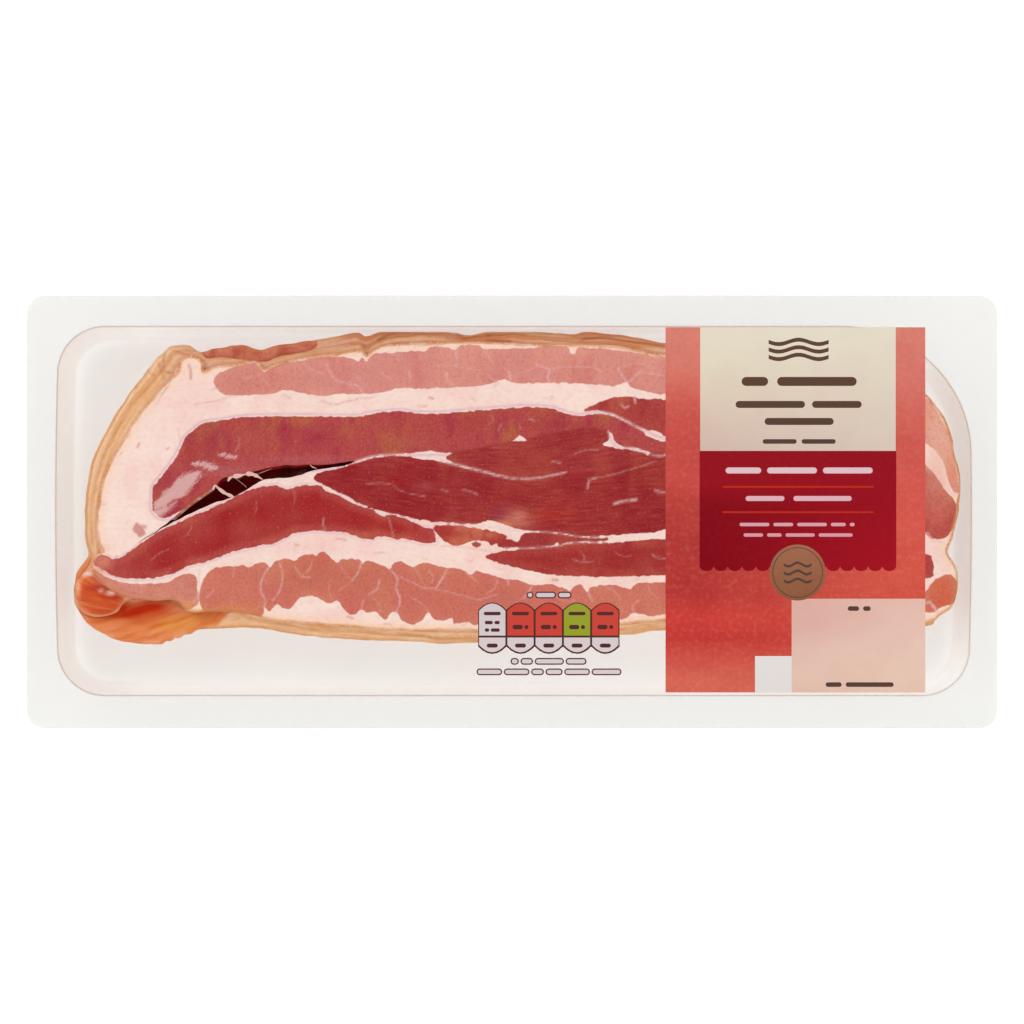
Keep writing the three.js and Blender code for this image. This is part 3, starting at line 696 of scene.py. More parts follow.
# Patches of other tones on the lean: middle, size, colour and strength.
STAINS = [
    ((215, 584), (14, 14), (214, 130, 108), 0.6),
    ((330, 576), (60, 18), (194, 104, 88), 0.5),
    ((243, 588), (16, 12), (213, 128, 110), 0.5),
    ((500, 602), (26, 12), (190, 100, 92), 0.5),
    ((258, 382), (36, 14), (206, 126, 108), 0.6),
    ((388, 526), (16, 9), (168, 44, 38), 0.5),
    ((420, 488), (62, 16), (146, 32, 40), 0.35),
    ((560, 500), (26, 9), (174, 62, 56), 0.4),
    ((560, 604), (70, 12), (208, 122, 104), 0.5),
    ((640, 600), (24, 14), (210, 124, 106), 0.6),
    ((186, 606), (16, 5), (222, 150, 100), 0.9),
    ((230, 608), (26, 5), (214, 134, 92), 0.8),
    ((215, 432), (12, 9), (158, 48, 72), 0.55),
    ((283, 428), (12, 8), (162, 48, 66), 0.5),
    ((318, 436), (14, 10), (160, 46, 72), 0.55),
    ((247, 436), (14, 12), (186, 98, 74), 0.5),
    ((192, 450), (10, 16), (176, 72, 62), 0.5),
    ((405, 430), (12, 12), (184, 88, 66), 0.55),
    ((432, 424), (9, 12), (180, 78, 66), 0.4),
    ((415, 441), (16, 6), (182, 100, 88), 0.4),
    ((470, 420), (18, 12), (170, 54, 60), 0.45),
    ((545, 420), (20, 9), (178, 78, 66), 0.4),
    ((230, 470), (40, 6), (184, 104, 104), 0.6),
    ((300, 459), (50, 4), (184, 100, 106), 0.55),
    ((516, 517), (16, 9), (206, 124, 106), 0.85),
    ((497, 514), (8, 6), (150, 56, 78), 0.6),
    ((505, 524), (18, 3.5), (214, 134, 104), 0.7),
    ((552, 515), (22, 7), (184, 56, 44), 0.6),
    ((398, 483), (9, 12), (160, 34, 38), 0.6),
    ((424, 486), (10, 5), (182, 92, 92), 0.5),
    ((100, 561), (12, 9), (206, 124, 104), 1.1),
    ((124, 566), (10, 8), (186, 88, 76), 0.5),
    ((308, 506), (26, 12), (162, 34, 34), 0.75),
    ((360, 520), (20, 8), (166, 42, 40), 0.45),
    ((365, 536), (7, 4), (196, 100, 86), 0.8),
    ((415, 530), (12, 5), (176, 52, 50), 0.4),
    ((490, 534), (9, 4), (202, 112, 88), 0.6),
    ((452, 533), (14, 4), (164, 40, 42), 0.6),
    ((604, 505), (20, 8), (160, 46, 48), 0.4),
    ((610, 452), (16, 6), (170, 62, 62), 0.5),
    ((560, 424), (30, 4), (150, 46, 56), 0.35),
    ((936, 502), (14, 34), (199, 96, 82), 1.1),
    ((928, 492), (8, 16), (190, 92, 80), 0.5),
    ((940, 440), (22, 44), (226, 168, 146), 1.3),
    ((950, 475), (7, 20), (222, 146, 118), 0.8),
    ((926, 412), (10, 12), (226, 158, 132), 0.8),
    ((942, 594), (14, 20), (208, 104, 76), 1.2),
    ((938, 604), (12, 6), (204, 96, 64), 0.8),
    ((929, 562), (6, 12), (176, 72, 68), 0.8),
]

FAT = linear((243, 217, 206))
FAT_LIGHT = linear((245, 222, 210))
FAT_PINK = linear((241, 203, 194))
FAT_LILAC = linear((218, 180, 194))
FAT_PEACH = linear((244, 208, 178))
BAND_EDGE = linear((208, 130, 70))
BAND = linear((228, 174, 124))
BAND_PALE = linear((237, 198, 158))
BAND_BROWN = linear((196, 116, 74))
BAND_ROSE = linear((194, 126, 110))
ORANGE = linear((200, 78, 28))
ORANGE_DEEP = linear((186, 40, 0))
ORANGE_PALE = linear((234, 166, 124))
GOLD = linear((224, 148, 74))
# The gap's deep red, painted over its cut walls and the rashers below it: the meat's red with painted shade.
GAP_SHADE_RED = linear((150, 0, 2))
GRISTLE = linear((235, 196, 194))
# painted crease shade, in a smoked brown
FOLD_SHADE = linear((178, 92, 56))
LIFT = 1.08  # the meat is painted this much lighter, for the light that the tray and the film take

# Soft patches in the fat: middle, size, colour and strength.
FAT_STAINS = [
    ((186, 390), (26, 36), FAT_PINK, 0.5),
    ((300, 546), (60, 9), FAT_PINK, 0.6),
    ((936, 488), (14, 44), linear((234, 182, 164)), 0.9),
]

# The orange ends of the second and the third rasher: the outline, the point that the streaks fan out from,
# the base colour, and patches of other colours as above.
STREAKS_AROUND = 22.0  # streaks to each radian round the point
CURLED_END = (
    [(72, 588), (75, 573), (87, 570), (92, 574), (100, 582), (117, 593), (125, 600.5), (120, 608),
     (106, 615), (93, 615), (79, 610)],
    (150, 612),
    ORANGE,
    [
        ((84, 580), (7, 6), linear((222, 112, 58)), 0.9),
        ((98, 588), (16, 3.5), ORANGE_DEEP, 1.1),
        ((112, 597), (12, 3), ORANGE_DEEP, 0.8),
        ((90, 606), (14, 6), linear((206, 98, 50)), 0.6),
        ((76, 584), (3.5, 14), ORANGE_PALE, 1.1),
        ((86, 573), (6, 2.5), FAT_PINK, 1.4),
        ((100, 590), (2.5, 2), FAT_PINK, 0.9),
        ((109.5, 592.5), (4, 2.2), FAT_PINK, 1.4),
    ],
)
TOE = (
    [(70, 590), (84, 560), (100, 560), (124, 598), (156, 596), (170, 599), (191, 608), (226, 611),
     (221, 620), (211, 629), (197, 633), (172, 641), (150, 647), (108, 641), (82, 625)],
    (290, 560),
    linear((224, 134, 82)),
    [
        ((122, 612), (36, 7), ORANGE_DEEP, 1.7),
        ((152, 608), (20, 6), ORANGE_DEEP, 1.3),
        ((100, 612), (18, 5), linear((204, 92, 44)), 0.8),
        ((150, 621), (26, 5), ORANGE, 0.6),
        ((172, 624), (18, 8), GOLD, 0.9),
        ((190, 620), (12, 9), GOLD, 0.9),
        ((207, 619), (13, 8), linear((212, 122, 62)), 1.1),
        ((184, 609), (14, 4), linear((214, 136, 96)), 0.9),
    ],
)


def stack_height(level):
    """The underside of the rasher at this level, 0 at the top of the stack, before the wave."""
    return WALL + REST_GAP + (RASHERS - 1 - level) * RASHER_PITCH


def wave(at, level):
    share = 1 - level / (RASHERS - 1)
    along = np.sin(at[:, 0] / WAVE_ALONG * 2 + 0.6)
    return WAVE_HEIGHT * share * along * np.cos(at[:, 1] / WAVE_ACROSS * 2 - 0.4)


def wall_inset(height):
    return float(np.interp(height, WELL_HEIGHT[::-1], WELL_INSET[::-1]))


def rasher_sides(level):
    """The four edges of the rasher at this level, each from left to right or from belly to skin."""
    edges = (TOP_EDGES, SECOND_EDGES, THIRD_EDGES)[min(level, 2)]
    sides = {name: flowing(on_pack(points)) for name, points in edges.items()}
    rng = np.random.default_rng(400 + level)
    inset = DEEP_INSET + DEEP_VARIATION * rng.random(4) if level > 2 else np.zeros(4)
    room = SIDE_GAP + wall_inset(stack_height(level))
    low = np.array([MOUTH["left"] + room, MOUTH["bottom"] + room])
    high = np.array([MOUTH["right"] - room, MOUTH["top"] - room])
    for name, line in sides.items():
        share_x = np.clip((line[:, 0] - STACK_LEFT) / STACK_LENGTH, 0, 1)
        share_y = np.clip((line[:, 1] - STACK_FRONT) / STACK_WIDTH, 0, 1)
        line[:, 0] += inset[0] * (1 - share_x) - inset[1] * share_x
        line[:, 1] += inset[2] * (1 - share_y) - inset[3] * share_y
        rough = mottle(line, 2.6, 11 + level) - 0.5 + 0.4 * (mottle(line, 0.9, 23 + level) - 0.5)
        outward = line - np.array([0, 5.0])
        outward[:, 0] *= 0.3
        outward /= np.linalg.norm(outward, axis=1)[:, None]
        line += outward * rough[:, None] * (0.45 if level else 0.2)
        np.clip(line, low, high, out=line)
    return sides


def spread(count, shares):
    """Count steps from 0 to 1, closer together where more of them are wanted."""
    return np.interp(np.linspace(0, 1, count + 1), *shares)


def patch_between(sides, columns, rows):
    """A grid of places inside the four edges, as an array of columns along the rasher."""
    belly = cut_at(sides["belly"], columns)
    skin = cut_at(sides["skin"], columns)
    left = cut_at(sides["left"], rows)
    right = cut_at(sides["right"], rows)
    u = columns[:, None, None]
    v = rows[None, :, None]
    corners = (
        (1 - u) * (1 - v) * belly[0] + u * (1 - v) * belly[-1] + (1 - u) * v * skin[0] + u * v * skin[-1]
    )
    return (
        (1 - v) * belly[:, None] + v * skin[:, None] + (1 - u) * left[None] + u * right[None] - corners
    )


def grid_rim(steps_u, steps_v):
    """The grid's outer places in order, anticlockwise from the lower left."""
    rim = [(i, 0) for i in range(steps_u)]
    rim += [(steps_u, j) for j in range(steps_v)]
    rim += [(i, steps_v) for i in range(steps_u, 0, -1)]
    rim += [(0, j) for j in range(steps_v, 0, -1)]
    return rim


def slice_mesh(name, grid, lie, thickness, stride):
    """A thin closed slice over the grid, finely divided on top and coarsely below."""
    steps_u, steps_v = grid.shape[0] - 1, grid.shape[1] - 1
    flat = grid.reshape(-1, 2)
    rim = grid_rim(steps_u, steps_v)
    rim_index = np.array([i * (steps_v + 1) + j for i, j in rim])
    edge = distance_to(flat[rim_index], flat, closed=True)
    droop = RIM_DROOP * (1 - smoothstep(0, RIM_WIDTH, edge))
    top = np.column_stack([flat, lie(flat) + thickness - droop])
    outline = flat[rim_index]
    ahead = np.roll(outline, -1, axis=0) - np.roll(outline, 1, axis=0)
    normal = np.column_stack([ahead[:, 1], -ahead[:, 0]])
    normal /= np.maximum(np.linalg.norm(normal, axis=1), 1e-9)[:, None]
    middle = outline + normal * RIM_BULGE
    tucked = outline - normal * RIM_TUCK
    points = [
        top,
        np.column_stack([middle, lie(middle) + thickness * 0.45]),
        np.column_stack([tucked, lie(tucked)]),
    ]
    first_middle = len(top)
    first_low = first_middle + len(rim)
    low_of = {place: first_low + k for k, place in enumerate(rim)}
    inner = [(i, j) for i in range(stride, steps_u, stride) for j in range(stride, steps_v, stride)]
    first_inner = first_low + len(rim)
    for k, place in enumerate(inner):
        low_of[place] = first_inner + k
    if inner:
        places = np.array([grid[i, j] for i, j in inner])
        points.append(np.column_stack([places, lie(places)]))
    faces = []
    for i in range(steps_u):
        for j in range(steps_v):
            a = i * (steps_v + 1) + j
            b = a + steps_v + 1
            faces.append((a, b, b + 1, a + 1))
    count = len(rim)
    for k in range(count):
        n = (k + 1) % count
        faces.append((first_middle + k, first_middle + n, int(rim_index[n]), int(rim_index[k])))
        faces.append((first_low + k, first_low + n, first_middle + n, first_middle + k))
    for i in range(0, steps_u, stride):
        for j in range(0, steps_v, stride):
            loop = [(i + k, j) for k in range(stride)]
            loop += [(i + stride, j + k) for k in range(stride)]
            loop += [(i + stride - k, j + stride) for k in range(stride)]
            loop += [(i, j + stride - k) for k in range(stride)]
            kept = [low_of[place] for place in loop if place in low_of]
            faces.append(tuple(kept[::-1]))
    return mesh_object(name, np.vstack(points), faces)


def mesh_object(name, points, faces):
    mesh = bpy.data.meshes.new(name)
    mesh.from_pydata((np.asarray(points) * MM).tolist(), [], faces)
    mesh.update()
    made = bpy.data.objects.new(name, mesh)
    bpy.context.collection.objects.link(made)
    return made


def smooth_shading(made, angle=40):
    mesh = made.data
    mesh.polygons.foreach_set("use_smooth", np.ones(len(mesh.polygons), dtype=bool))
    mesh.set_sharp_from_angle(angle=math.radians(angle))


def prism(name, ring, low, high):
    count = len(ring)
    points = np.vstack([raised(ring, low), raised(ring, high)])
    faces = [tuple(range(count))[::-1], tuple(range(count, 2 * count))]
    faces += [(k, (k + 1) % count, (k + 1) % count + count, k + count) for k in range(count)]
    return mesh_object(name, points, faces)


def is_clockwise(ring):
    after = np.roll(ring, -1, axis=0)
    return np.sum(ring[:, 0] * after[:, 1] - after[:, 0] * ring[:, 1]) < 0


def anticlockwise(ring):
    return ring[::-1] if is_clockwise(ring) else ring


def split_ring(level):
    """The outline of the gap at this level. The second rasher keeps a ledge along its upper left."""
    ring = anticlockwise(flowing(on_pack(SPLIT), closed=True, step=0.5))
    if level == 0:
        return ring + np.column_stack([np.zeros(len(ring)), 0.35 * (mottle(ring, 1.6, 90) - 0.5)])
    if level == 1:
        middle = np.interp(ring[:, 0], *on_pack(LEDGE_LINE).T)
        ledge = smoothstep(-0.1, 0.2, ring[:, 1] - middle) * smoothstep(-73, -80, ring[:, 0])
        return ring - np.column_stack([np.zeros(len(ring)), LEDGE * ledge])
    shift = (np.random.default_rng(70 + level).random(2) - 0.5) * 0.9
    wobble = 0.7 * (mottle(ring, 1.6, 90 + level) - 0.5)
    return ring + shift + np.column_stack([np.zeros(len(ring)), wobble])


def cut_split(rasher, level):
    """Opens the gap between the muscles through the rasher."""
    ring = split_ring(level)
    height = stack_height(level)
    cutter = prism("cutter", ring, height - 2, height + 4)
    cut = rasher.modifiers.new("split", "BOOLEAN")
    cut.operation = "DIFFERENCE"
    cut.solver = "MANIFOLD"
    cut.object = cutter
    apply_modifiers(rasher)
    bpy.data.objects.remove(cutter)


def apply_modifiers(made):
    graph = bpy.context.evaluated_depsgraph_get()
    mesh = bpy.data.meshes.new_from_object(made.evaluated_get(graph))
    made.modifiers.clear()
    old = made.data
    made.data = mesh
    bpy.data.meshes.remove(old)


def read_points(made):
    points = np.empty(len(made.data.vertices) * 3)
    made.data.vertices.foreach_get("co", points)
    return points.reshape(-1, 3) / MM


def write_points(made, points):
    made.data.vertices.foreach_set("co", (points * MM).ravel())
    made.data.update()


def set_field(made, name, values):
    kind = "FLOAT" if values.ndim == 1 else "FLOAT_VECTOR"
    field = made.data.attributes.new(name, kind, "POINT")
    field.data.foreach_set("value" if kind == "FLOAT" else "vector", values.astype(np.float32).ravel())


def line_glow(lines, at, share=1.0):
    """How strongly a place belongs to the nearest of some soft lines, from 0 to 1."""
    glow = np.zeros(len(at))
    for half_width, points in lines:
        line = flowing(on_pack(points), step=0.7)
        near = np.all((at > line.min(0) - 1.2) & (at < line.max(0) + 1.2), axis=1)
        if near.any():
            width = (half_width * 0.7 + 0.4) * PIXEL
            strength = share * np.clip(0.95 * half_width - 0.12, 0.2, 1.0)
            away = distance_to(line, at[near])
            glow[near] = np.maximum(glow[near], strength * np.exp(-((away / width) ** 2)))
    return glow


def short_vessels():
    """Small random wiggles for the fat."""
    rng = np.random.default_rng(15)
    lines = []
    for _ in range(SHORT_VESSELS):
        x, y = rng.uniform(95, 950), rng.uniform(352, 625)
        turn = rng.uniform(-0.5, 0.5) + (1.0 if x < 200 else 0.0)
        points = [(x, y)]
        for _ in range(int(rng.integers(1, 4))):
            turn += rng.uniform(-0.8, 0.8)
            x += 3.0 * math.cos(turn)
            y -= 3.0 * math.sin(turn)
            points.append((x, y))
        lines.append((rng.uniform(0.1, 0.85), points))
    return lines


def blob(at, centre, size):
    """A soft round or oval patch, 1 in its middle. Centre and size are in pixels."""
    middle = on_pack(centre)
    reach = np.asarray(size, dtype=float) * PIXEL
    return np.exp(-(((at - middle) / reach) ** 2).sum(1))


class Skin:
    """The colours and relief of one rasher's surface, worked out place by place."""

    def __init__(self, at, level, rim):
        self.at = at
        self.level = level
        self.rim = rim
        shift = np.zeros(2)
        if level:
            shift = (np.random.default_rng(900 + level).random(2) - 0.5) * np.array([9.0, 3.0])
        self.pattern = at + shift
        self.in_end = np.zeros(len(at))
        self.paint_lean()
        self.paint_fat()

    def paint_lean(self):
        at = self.pattern
        depths = np.stack([depth_in(muscle.ring, at) for muscle in MUSCLES.values()], axis=1)
        weight = np.exp((depths - depths.max(1, keepdims=True)) / 0.2)
        weight /= weight.sum(1, keepdims=True)
        self.tone = np.zeros((len(at), 3))
        self.grain = np.zeros((len(at), 2))
        self.streak = np.zeros(len(at))
        self.net = np.zeros(len(at))
        for share, depth, muscle in zip(weight.T, depths.T, MUSCLES.values()):
            near = share > 0.002
            self.tone[near] += share[near, None] * muscle.colour_at(at[near], depth[near])
            self.grain[near] += share[near, None] * muscle.grain_at(at[near])
            self.streak[near] += share[near] * muscle.streak
            self.net[near] += share[near] * muscle.net
        for centre, size, colour, strength in STAINS:
            stain = strength * blob(at, centre, size) * (0.7 + 0.6 * mottle(at, 3.0, 19))
            self.tone = blend(self.tone, linear(colour), np.clip(stain, 0, 1))
        self.wisp = self.feather()
        self.net *= 1 - self.wisp
        serration = 0.4 * (mottle(at * [1.0, 0.45], 1.1, 83) - 0.5)
        self.lean = depths.max(1) + serration
        for ring in MARBLING:
            self.lean = np.minimum(self.lean, -depth_in(ring, at))
        names = list(MUSCLES)
        upper, lower = depths[:, names.index("upper")], depths[:, names.index("lower")]
        lilac = np.exp(-(((upper + 0.6) / 0.32) ** 2)) + 0.7 * np.exp(-(((lower + 0.4) / 0.25) ** 2))
        self.lilac = np.clip(lilac, 0, 1)
        self.seam = np.maximum(line_glow(SEAMS, at), line_glow(LOBE_WALLS, at, 0.92))

    def feather(self):
        """How far each place belongs to the wisps of fat, which run up to the right."""
        turned = self.pattern @ np.array([[0.77, -0.64], [0.64, 0.77]])
        comb = 0.6 * mottle(turned * [0.5, 2.0], 1.0, 61) + 0.4 * mottle(turned * [1.4, 3.4], 1.0, 62)
        depth = np.max([depth_in(ring, self.pattern) for ring in WISPS], axis=0)
        inside = smoothstep(-1.5, 1.5, depth)
        return np.clip(1.15 * inside + 0.7 * (comb - 0.5), 0, 1) * smoothstep(-1.8, -0.3, depth)

    def paint_fat(self):
        at = self.pattern
        light = smoothstep(0.4, 0.8, layered_mottle(at, 4.0, 3))
        pink = smoothstep(0.45, 0.8, layered_mottle(at, 5.5, 17))
        self.fat = blend(blend(FAT, FAT_LIGHT, light), FAT_PINK, 0.6 * pink)
        for centre, size, colour, strength in FAT_STAINS:
            self.fat = blend(self.fat, colour, strength * blob(at, centre, size))
        self.fat = blend(self.fat, FAT_LILAC, 0.8 * self.lilac)
        tip = np.clip(1.3 * blob(at, (96, 566), (10, 9)), 0, 1)
        self.fat = blend(self.fat, linear((216, 146, 122)), tip)
        turned = at @ np.array([[0.8, -0.6], [0.6, 0.8]])
        patch = blob(at, (139, 529), (7, 8)) * (0.5 + mottle(turned, 0.9, 66))
        self.fat = blend(self.fat, linear((196, 118, 112)), np.clip(smoothstep(0.3, 0.7, patch), 0, 0.8))
        belly = smoothstep(-18, -25, at[:, 1])
        peach = np.maximum(smoothstep(2.8, 0.4, self.rim) * belly, 0.6 * smoothstep(3.4, 0.4, self.rim))
        self.fat = blend(self.fat, FAT_PEACH, 0.95 * peach)
        self.fat_shade = self.fat * np.array([0.98, 0.91, 0.89])
        self.vessel = line_glow(VESSELS + short_vessels(), at)
        self.fold_shade = np.zeros(len(at))
        width = 0.6 + 0.6 * mottle(self.at, 2.2, 71 + self.level)
        strength = 0.4 + 0.4 * smoothstep(0.3, 0.7, layered_mottle(self.at, 4.0, 75 + self.level))
        strength += 0.2 if self.level == 0 else -0.15
        self.rind = strength * smoothstep(width, width * 0.35, self.rim)

    def paint_bands(self):
        """The smoked edges that show beyond the top rasher."""
        at, rim = self.at, self.rim
        band = smoothstep(4.2, 3.0, rim)
        self.lean = np.where(rim < 4.0, np.minimum(self.lean, -1.0), self.lean)
        lines = mottle(np.column_stack([at[:, 0] * 0.12, rim * 2.0]), 1.0, 33 + self.level)
        colour = blend(BAND, BAND_PALE, smoothstep(0.3, 0.8, lines))
        colour = blend(colour, BAND_PALE, 0.6 * smoothstep(1.0, 2.4, rim))
        top = smoothstep(28, 36, at[:, 1]) * smoothstep(-95, -80, at[:, 0])
        colour = blend(colour, FAT_PINK, 0.3 * top * smoothstep(0.9, 1.6, rim))
        streaks = mottle(np.column_stack([at[:, 0] * 0.1 + 3 * self.level, rim * 1.7]), 1.0, 44)
        brown = top * smoothstep(-52, -38, at[:, 0]) * smoothstep(0.4, 0.75, streaks)
        brown = brown * smoothstep(2.2, 1.2, rim)
        colour = blend(colour, BAND_ROSE, 0.4 * top)
        colour = blend(colour, BAND_BROWN, 0.8 * brown)
        self.fat = blend(self.fat, colour, band)
        self.fat_shade = blend(self.fat_shade, self.fat * np.array([0.96, 0.89, 0.80]), band)
        self.fold_shade = line_glow(FOLD_SHADE_LINES, at)

    def paint_strip(self):
        """The lean that shows along the skin at the left of the third rasher."""
        depth = depth_in(flowing(on_pack(STRIP), closed=True), self.at)
        self.lean = np.maximum(self.lean, depth)
        brown = smoothstep(-0.5, 0.1, depth)
        reddish = blend(linear((186, 94, 70)), linear((204, 122, 96)),
                        smoothstep(0.3, 0.7, mottle(self.at, 3.0, 51)))
        self.tone = blend(self.tone, reddish, brown)
        self.seam = self.seam * (1 - brown)
        self.net = self.net * (1 - brown)

    def paint_end(self, ring, fan, base, patches):
        """An orange, fibrous end whose streaks fan out from one point."""
        at = self.at
        zone = smoothstep(-0.5, 0.6, depth_in(flowing(on_pack(ring), closed=True), at))
        away = at - on_pack(fan)
        turn = np.arctan2(away[:, 1], away[:, 0])
        reach = np.linalg.norm(away, axis=1)
        streaks = np.column_stack([reach * 0.12, turn * STREAKS_AROUND + reach * 0.06])
        fine = 0.6 * mottle(streaks, 1.0, 12) + 0.4 * mottle(streaks * 2.3, 1.0, 13)
        colour = blend(base, ORANGE_PALE, 0.35 * smoothstep(0.45, 0.85, fine))
        for centre, size, tone, strength in patches:
            patch = strength * blob(at, centre, size) * (0.55 + 0.9 * fine)
            colour = blend(colour, tone, np.clip(patch, 0, 1))
        pale_rim = smoothstep(1.6, 0.3, self.rim) * smoothstep(0.35, 0.7, mottle(at, 3.0, 14))
        colour = blend(colour, ORANGE_PALE, 0.6 * pale_rim)
        self.fat = blend(self.fat, colour, zone)
        self.fat_shade = blend(self.fat_shade, colour * np.array([0.88, 0.64, 0.42]), zone)
        self.grain = self.grain * (1 - zone[:, None]) + streaks * zone[:, None]
        self.in_end = np.maximum(self.in_end, zone)
        self.lean = np.where(zone > 0.4, -1.5, self.lean)
        self.seam *= 1 - zone
        self.vessel *= 1 - zone
        self.rind *= 1 - 0.9 * zone

    def write(self, made, dark):
        """Leaves what was worked out on the mesh, where the meat's material reads it."""
        offset = np.full(len(self.at), self.level * 7.0)
        in_fat = (smoothstep(0.1, -0.1, self.lean) * (1 - self.in_end))[:, None]
        grain = self.grain * (1 - in_fat) + self.pattern * [0.7, 1.0] * in_fat
        shade = self.tone * (1 - self.streak[:, None] * np.array([0.14, 0.32, 0.24]))
        fields = {
            "pattern": np.column_stack([self.pattern, offset]),
            "grain": np.column_stack([grain, offset]),
            "lean_tone": self.tone * LIFT,
            "lean_shade": shade * LIFT,
            "fat_tone": self.fat * LIFT,
            "fat_shade": self.fat_shade * LIFT,
            "dark": dark,
        }
        for name in ("lean", "streak", "net", "wisp", "seam", "vessel", "fold_shade", "rind"):
            fields[name] = getattr(self, name)
        for name, values in fields.items():
            set_field(made, name, values)


def paint_rasher(made, level, sides):
    """Works out the meat's colours and relief at every point of the rasher."""
    points = read_points(made)
    at = points[:, :2]
    belly, right, skin_side, left = (sides[name] for name in ("belly", "right", "skin", "left"))
    ring = np.vstack([belly[:-1], right[:-1], skin_side[::-1][:-1], left[::-1][:-1]])
    skin = Skin(at, level, distance_to(ring, at, closed=True))
    if level:
        skin.paint_bands()
    if level == 1:
        skin.paint_end(*CURLED_END)
    if level == 2:
        skin.paint_strip()
        skin.paint_end(*TOE)
    split = -depth_in(split_ring(level), at)
    surface = stack_height(level) + wave(at, level) + RASHER_THICKNESS
    # dark: painted shade in the gap's deep red, on the cut walls of the top rasher and on the rashers under
    # the gap
    below = smoothstep(0.25, 0.9, surface - points[:, 2]) if level == 0 else 1.0
    dark = below * smoothstep(1.6 if level else 0.5, 0.1, split)
    if level == 1:
        ledge = smoothstep(1.9, 1.4, split) * smoothstep(-76, -80, at[:, 0])
        colour = blend(linear((206, 112, 62)), linear((236, 188, 150)), smoothstep(0.35, 0.9, split))
        skin.fat = blend(skin.fat, colour, ledge)
        skin.lean = np.where(ledge > 0.5, -1.5, skin.lean)
        dark = dark * (1 - ledge)
    relief = 0.1 * smoothstep(0.35, -0.5, skin.lean) + 0.05 * (layered_mottle(at, 5.0, 41) - 0.5)
    if level in (1, 2):
        along_rim = np.column_stack([at[:, 0] * 0.12, skin.rim * 1.6])
        relief += 0.06 * (mottle(along_rim, 1.0, 33 + level) - 0.5)
    if level < 3:
        points[:, 2] += np.where(points[:, 2] > surface - 0.5, relief, 0)
        write_points(made, points)
    skin.write(made, dark)


class Graph:
    """Short calls for building a material's nodes."""

    def __init__(self, name):
        self.material = bpy.data.materials.new(name)
        self.material.use_nodes = True
        self.tree = self.material.node_tree
        self.tree.nodes.clear()
        self.shader = self.tree.nodes.new("ShaderNodeBsdfPrincipled")
        output = self.tree.nodes.new("ShaderNodeOutputMaterial")
        self.tree.links.new(self.shader.outputs["BSDF"], output.inputs["Surface"])

    def put(self, value, socket):
        if isinstance(value, bpy.types.NodeSocket):
            self.tree.links.new(value, socket)
        elif hasattr(value, "__len__") and len(value) == 3 and len(socket.default_value) == 4:
            socket.default_value = (*value, 1.0)
        else:
            socket.default_value = value

    def field(self, name, vector=False):
        node = self.tree.nodes.new("ShaderNodeAttribute")
        node.attribute_name = name
        return node.outputs["Vector" if vector else "Fac"]

    def place(self):
        return self.tree.nodes.new("ShaderNodeTexCoord").outputs["Object"]

    def noise(self, vector, scale, detail=2.0):
        node = self.tree.nodes.new("ShaderNodeTexNoise")
        self.put(vector, node.inputs["Vector"])
        node.inputs["Scale"].default_value = scale
        node.inputs["Detail"].default_value = detail
        return node.outputs["Fac"]

    def math(self, operation, a, b=0.0, c=0.0):
        node = self.tree.nodes.new("ShaderNodeMath")
        node.operation = operation
        for value, socket in zip((a, b, c), node.inputs):
            self.put(value, socket)
        return node.outputs["Value"]

    def ramp(self, value, low, high, start=0.0, end=1.0, kind="SMOOTHSTEP"):
        """Goes from start to end as the value goes from low to high."""
        node = self.tree.nodes.new("ShaderNodeMapRange")
        node.interpolation_type = kind
        names = ("Value", "From Min", "From Max", "To Min", "To Max")
        for given, name in zip((value, low, high, start, end), names):
            self.put(given, node.inputs[name])
        return node.outputs["Result"]

    def stops(self, value, rows):
        """Colours down the label, each at its pixel row."""
        node = self.tree.nodes.new("ShaderNodeValToRGB")
        self.put(value, node.inputs["Fac"])
        elements = node.color_ramp.elements
        while len(elements) < len(rows):
            elements.new(0.5)
        for element, (row, colour) in zip(elements, rows):
            element.position = (row - LABEL_TOP) / (LABEL_BOTTOM - LABEL_TOP)
            element.color = (*linear(colour), 1.0)
        return node.outputs["Color"]

    def mix(self, share, a, b, kind="MIX"):
        node = self.tree.nodes.new("ShaderNodeMix")
        node.data_type = "RGBA"
        node.blend_type = kind
        colours = [socket for socket in node.inputs if socket.type == "RGBA"]
        self.put(share, node.inputs["Factor"])
        self.put(a, colours[0])
        self.put(b, colours[1])
        return next(socket for socket in node.outputs if socket.type == "RGBA")

    def bump(self, height, distance, strength=1.0):
        node = self.tree.nodes.new("ShaderNodeBump")
        node.inputs["Distance"].default_value = distance * MM
        node.inputs["Strength"].default_value = strength
        self.put(height, node.inputs["Height"])
        self.put(node.outputs["Normal"], self.shader.inputs["Normal"])

    def set(self, **values):
        for name, value in values.items():
            self.put(value, self.shader.inputs[name.replace("_", " ")])
        return self.material


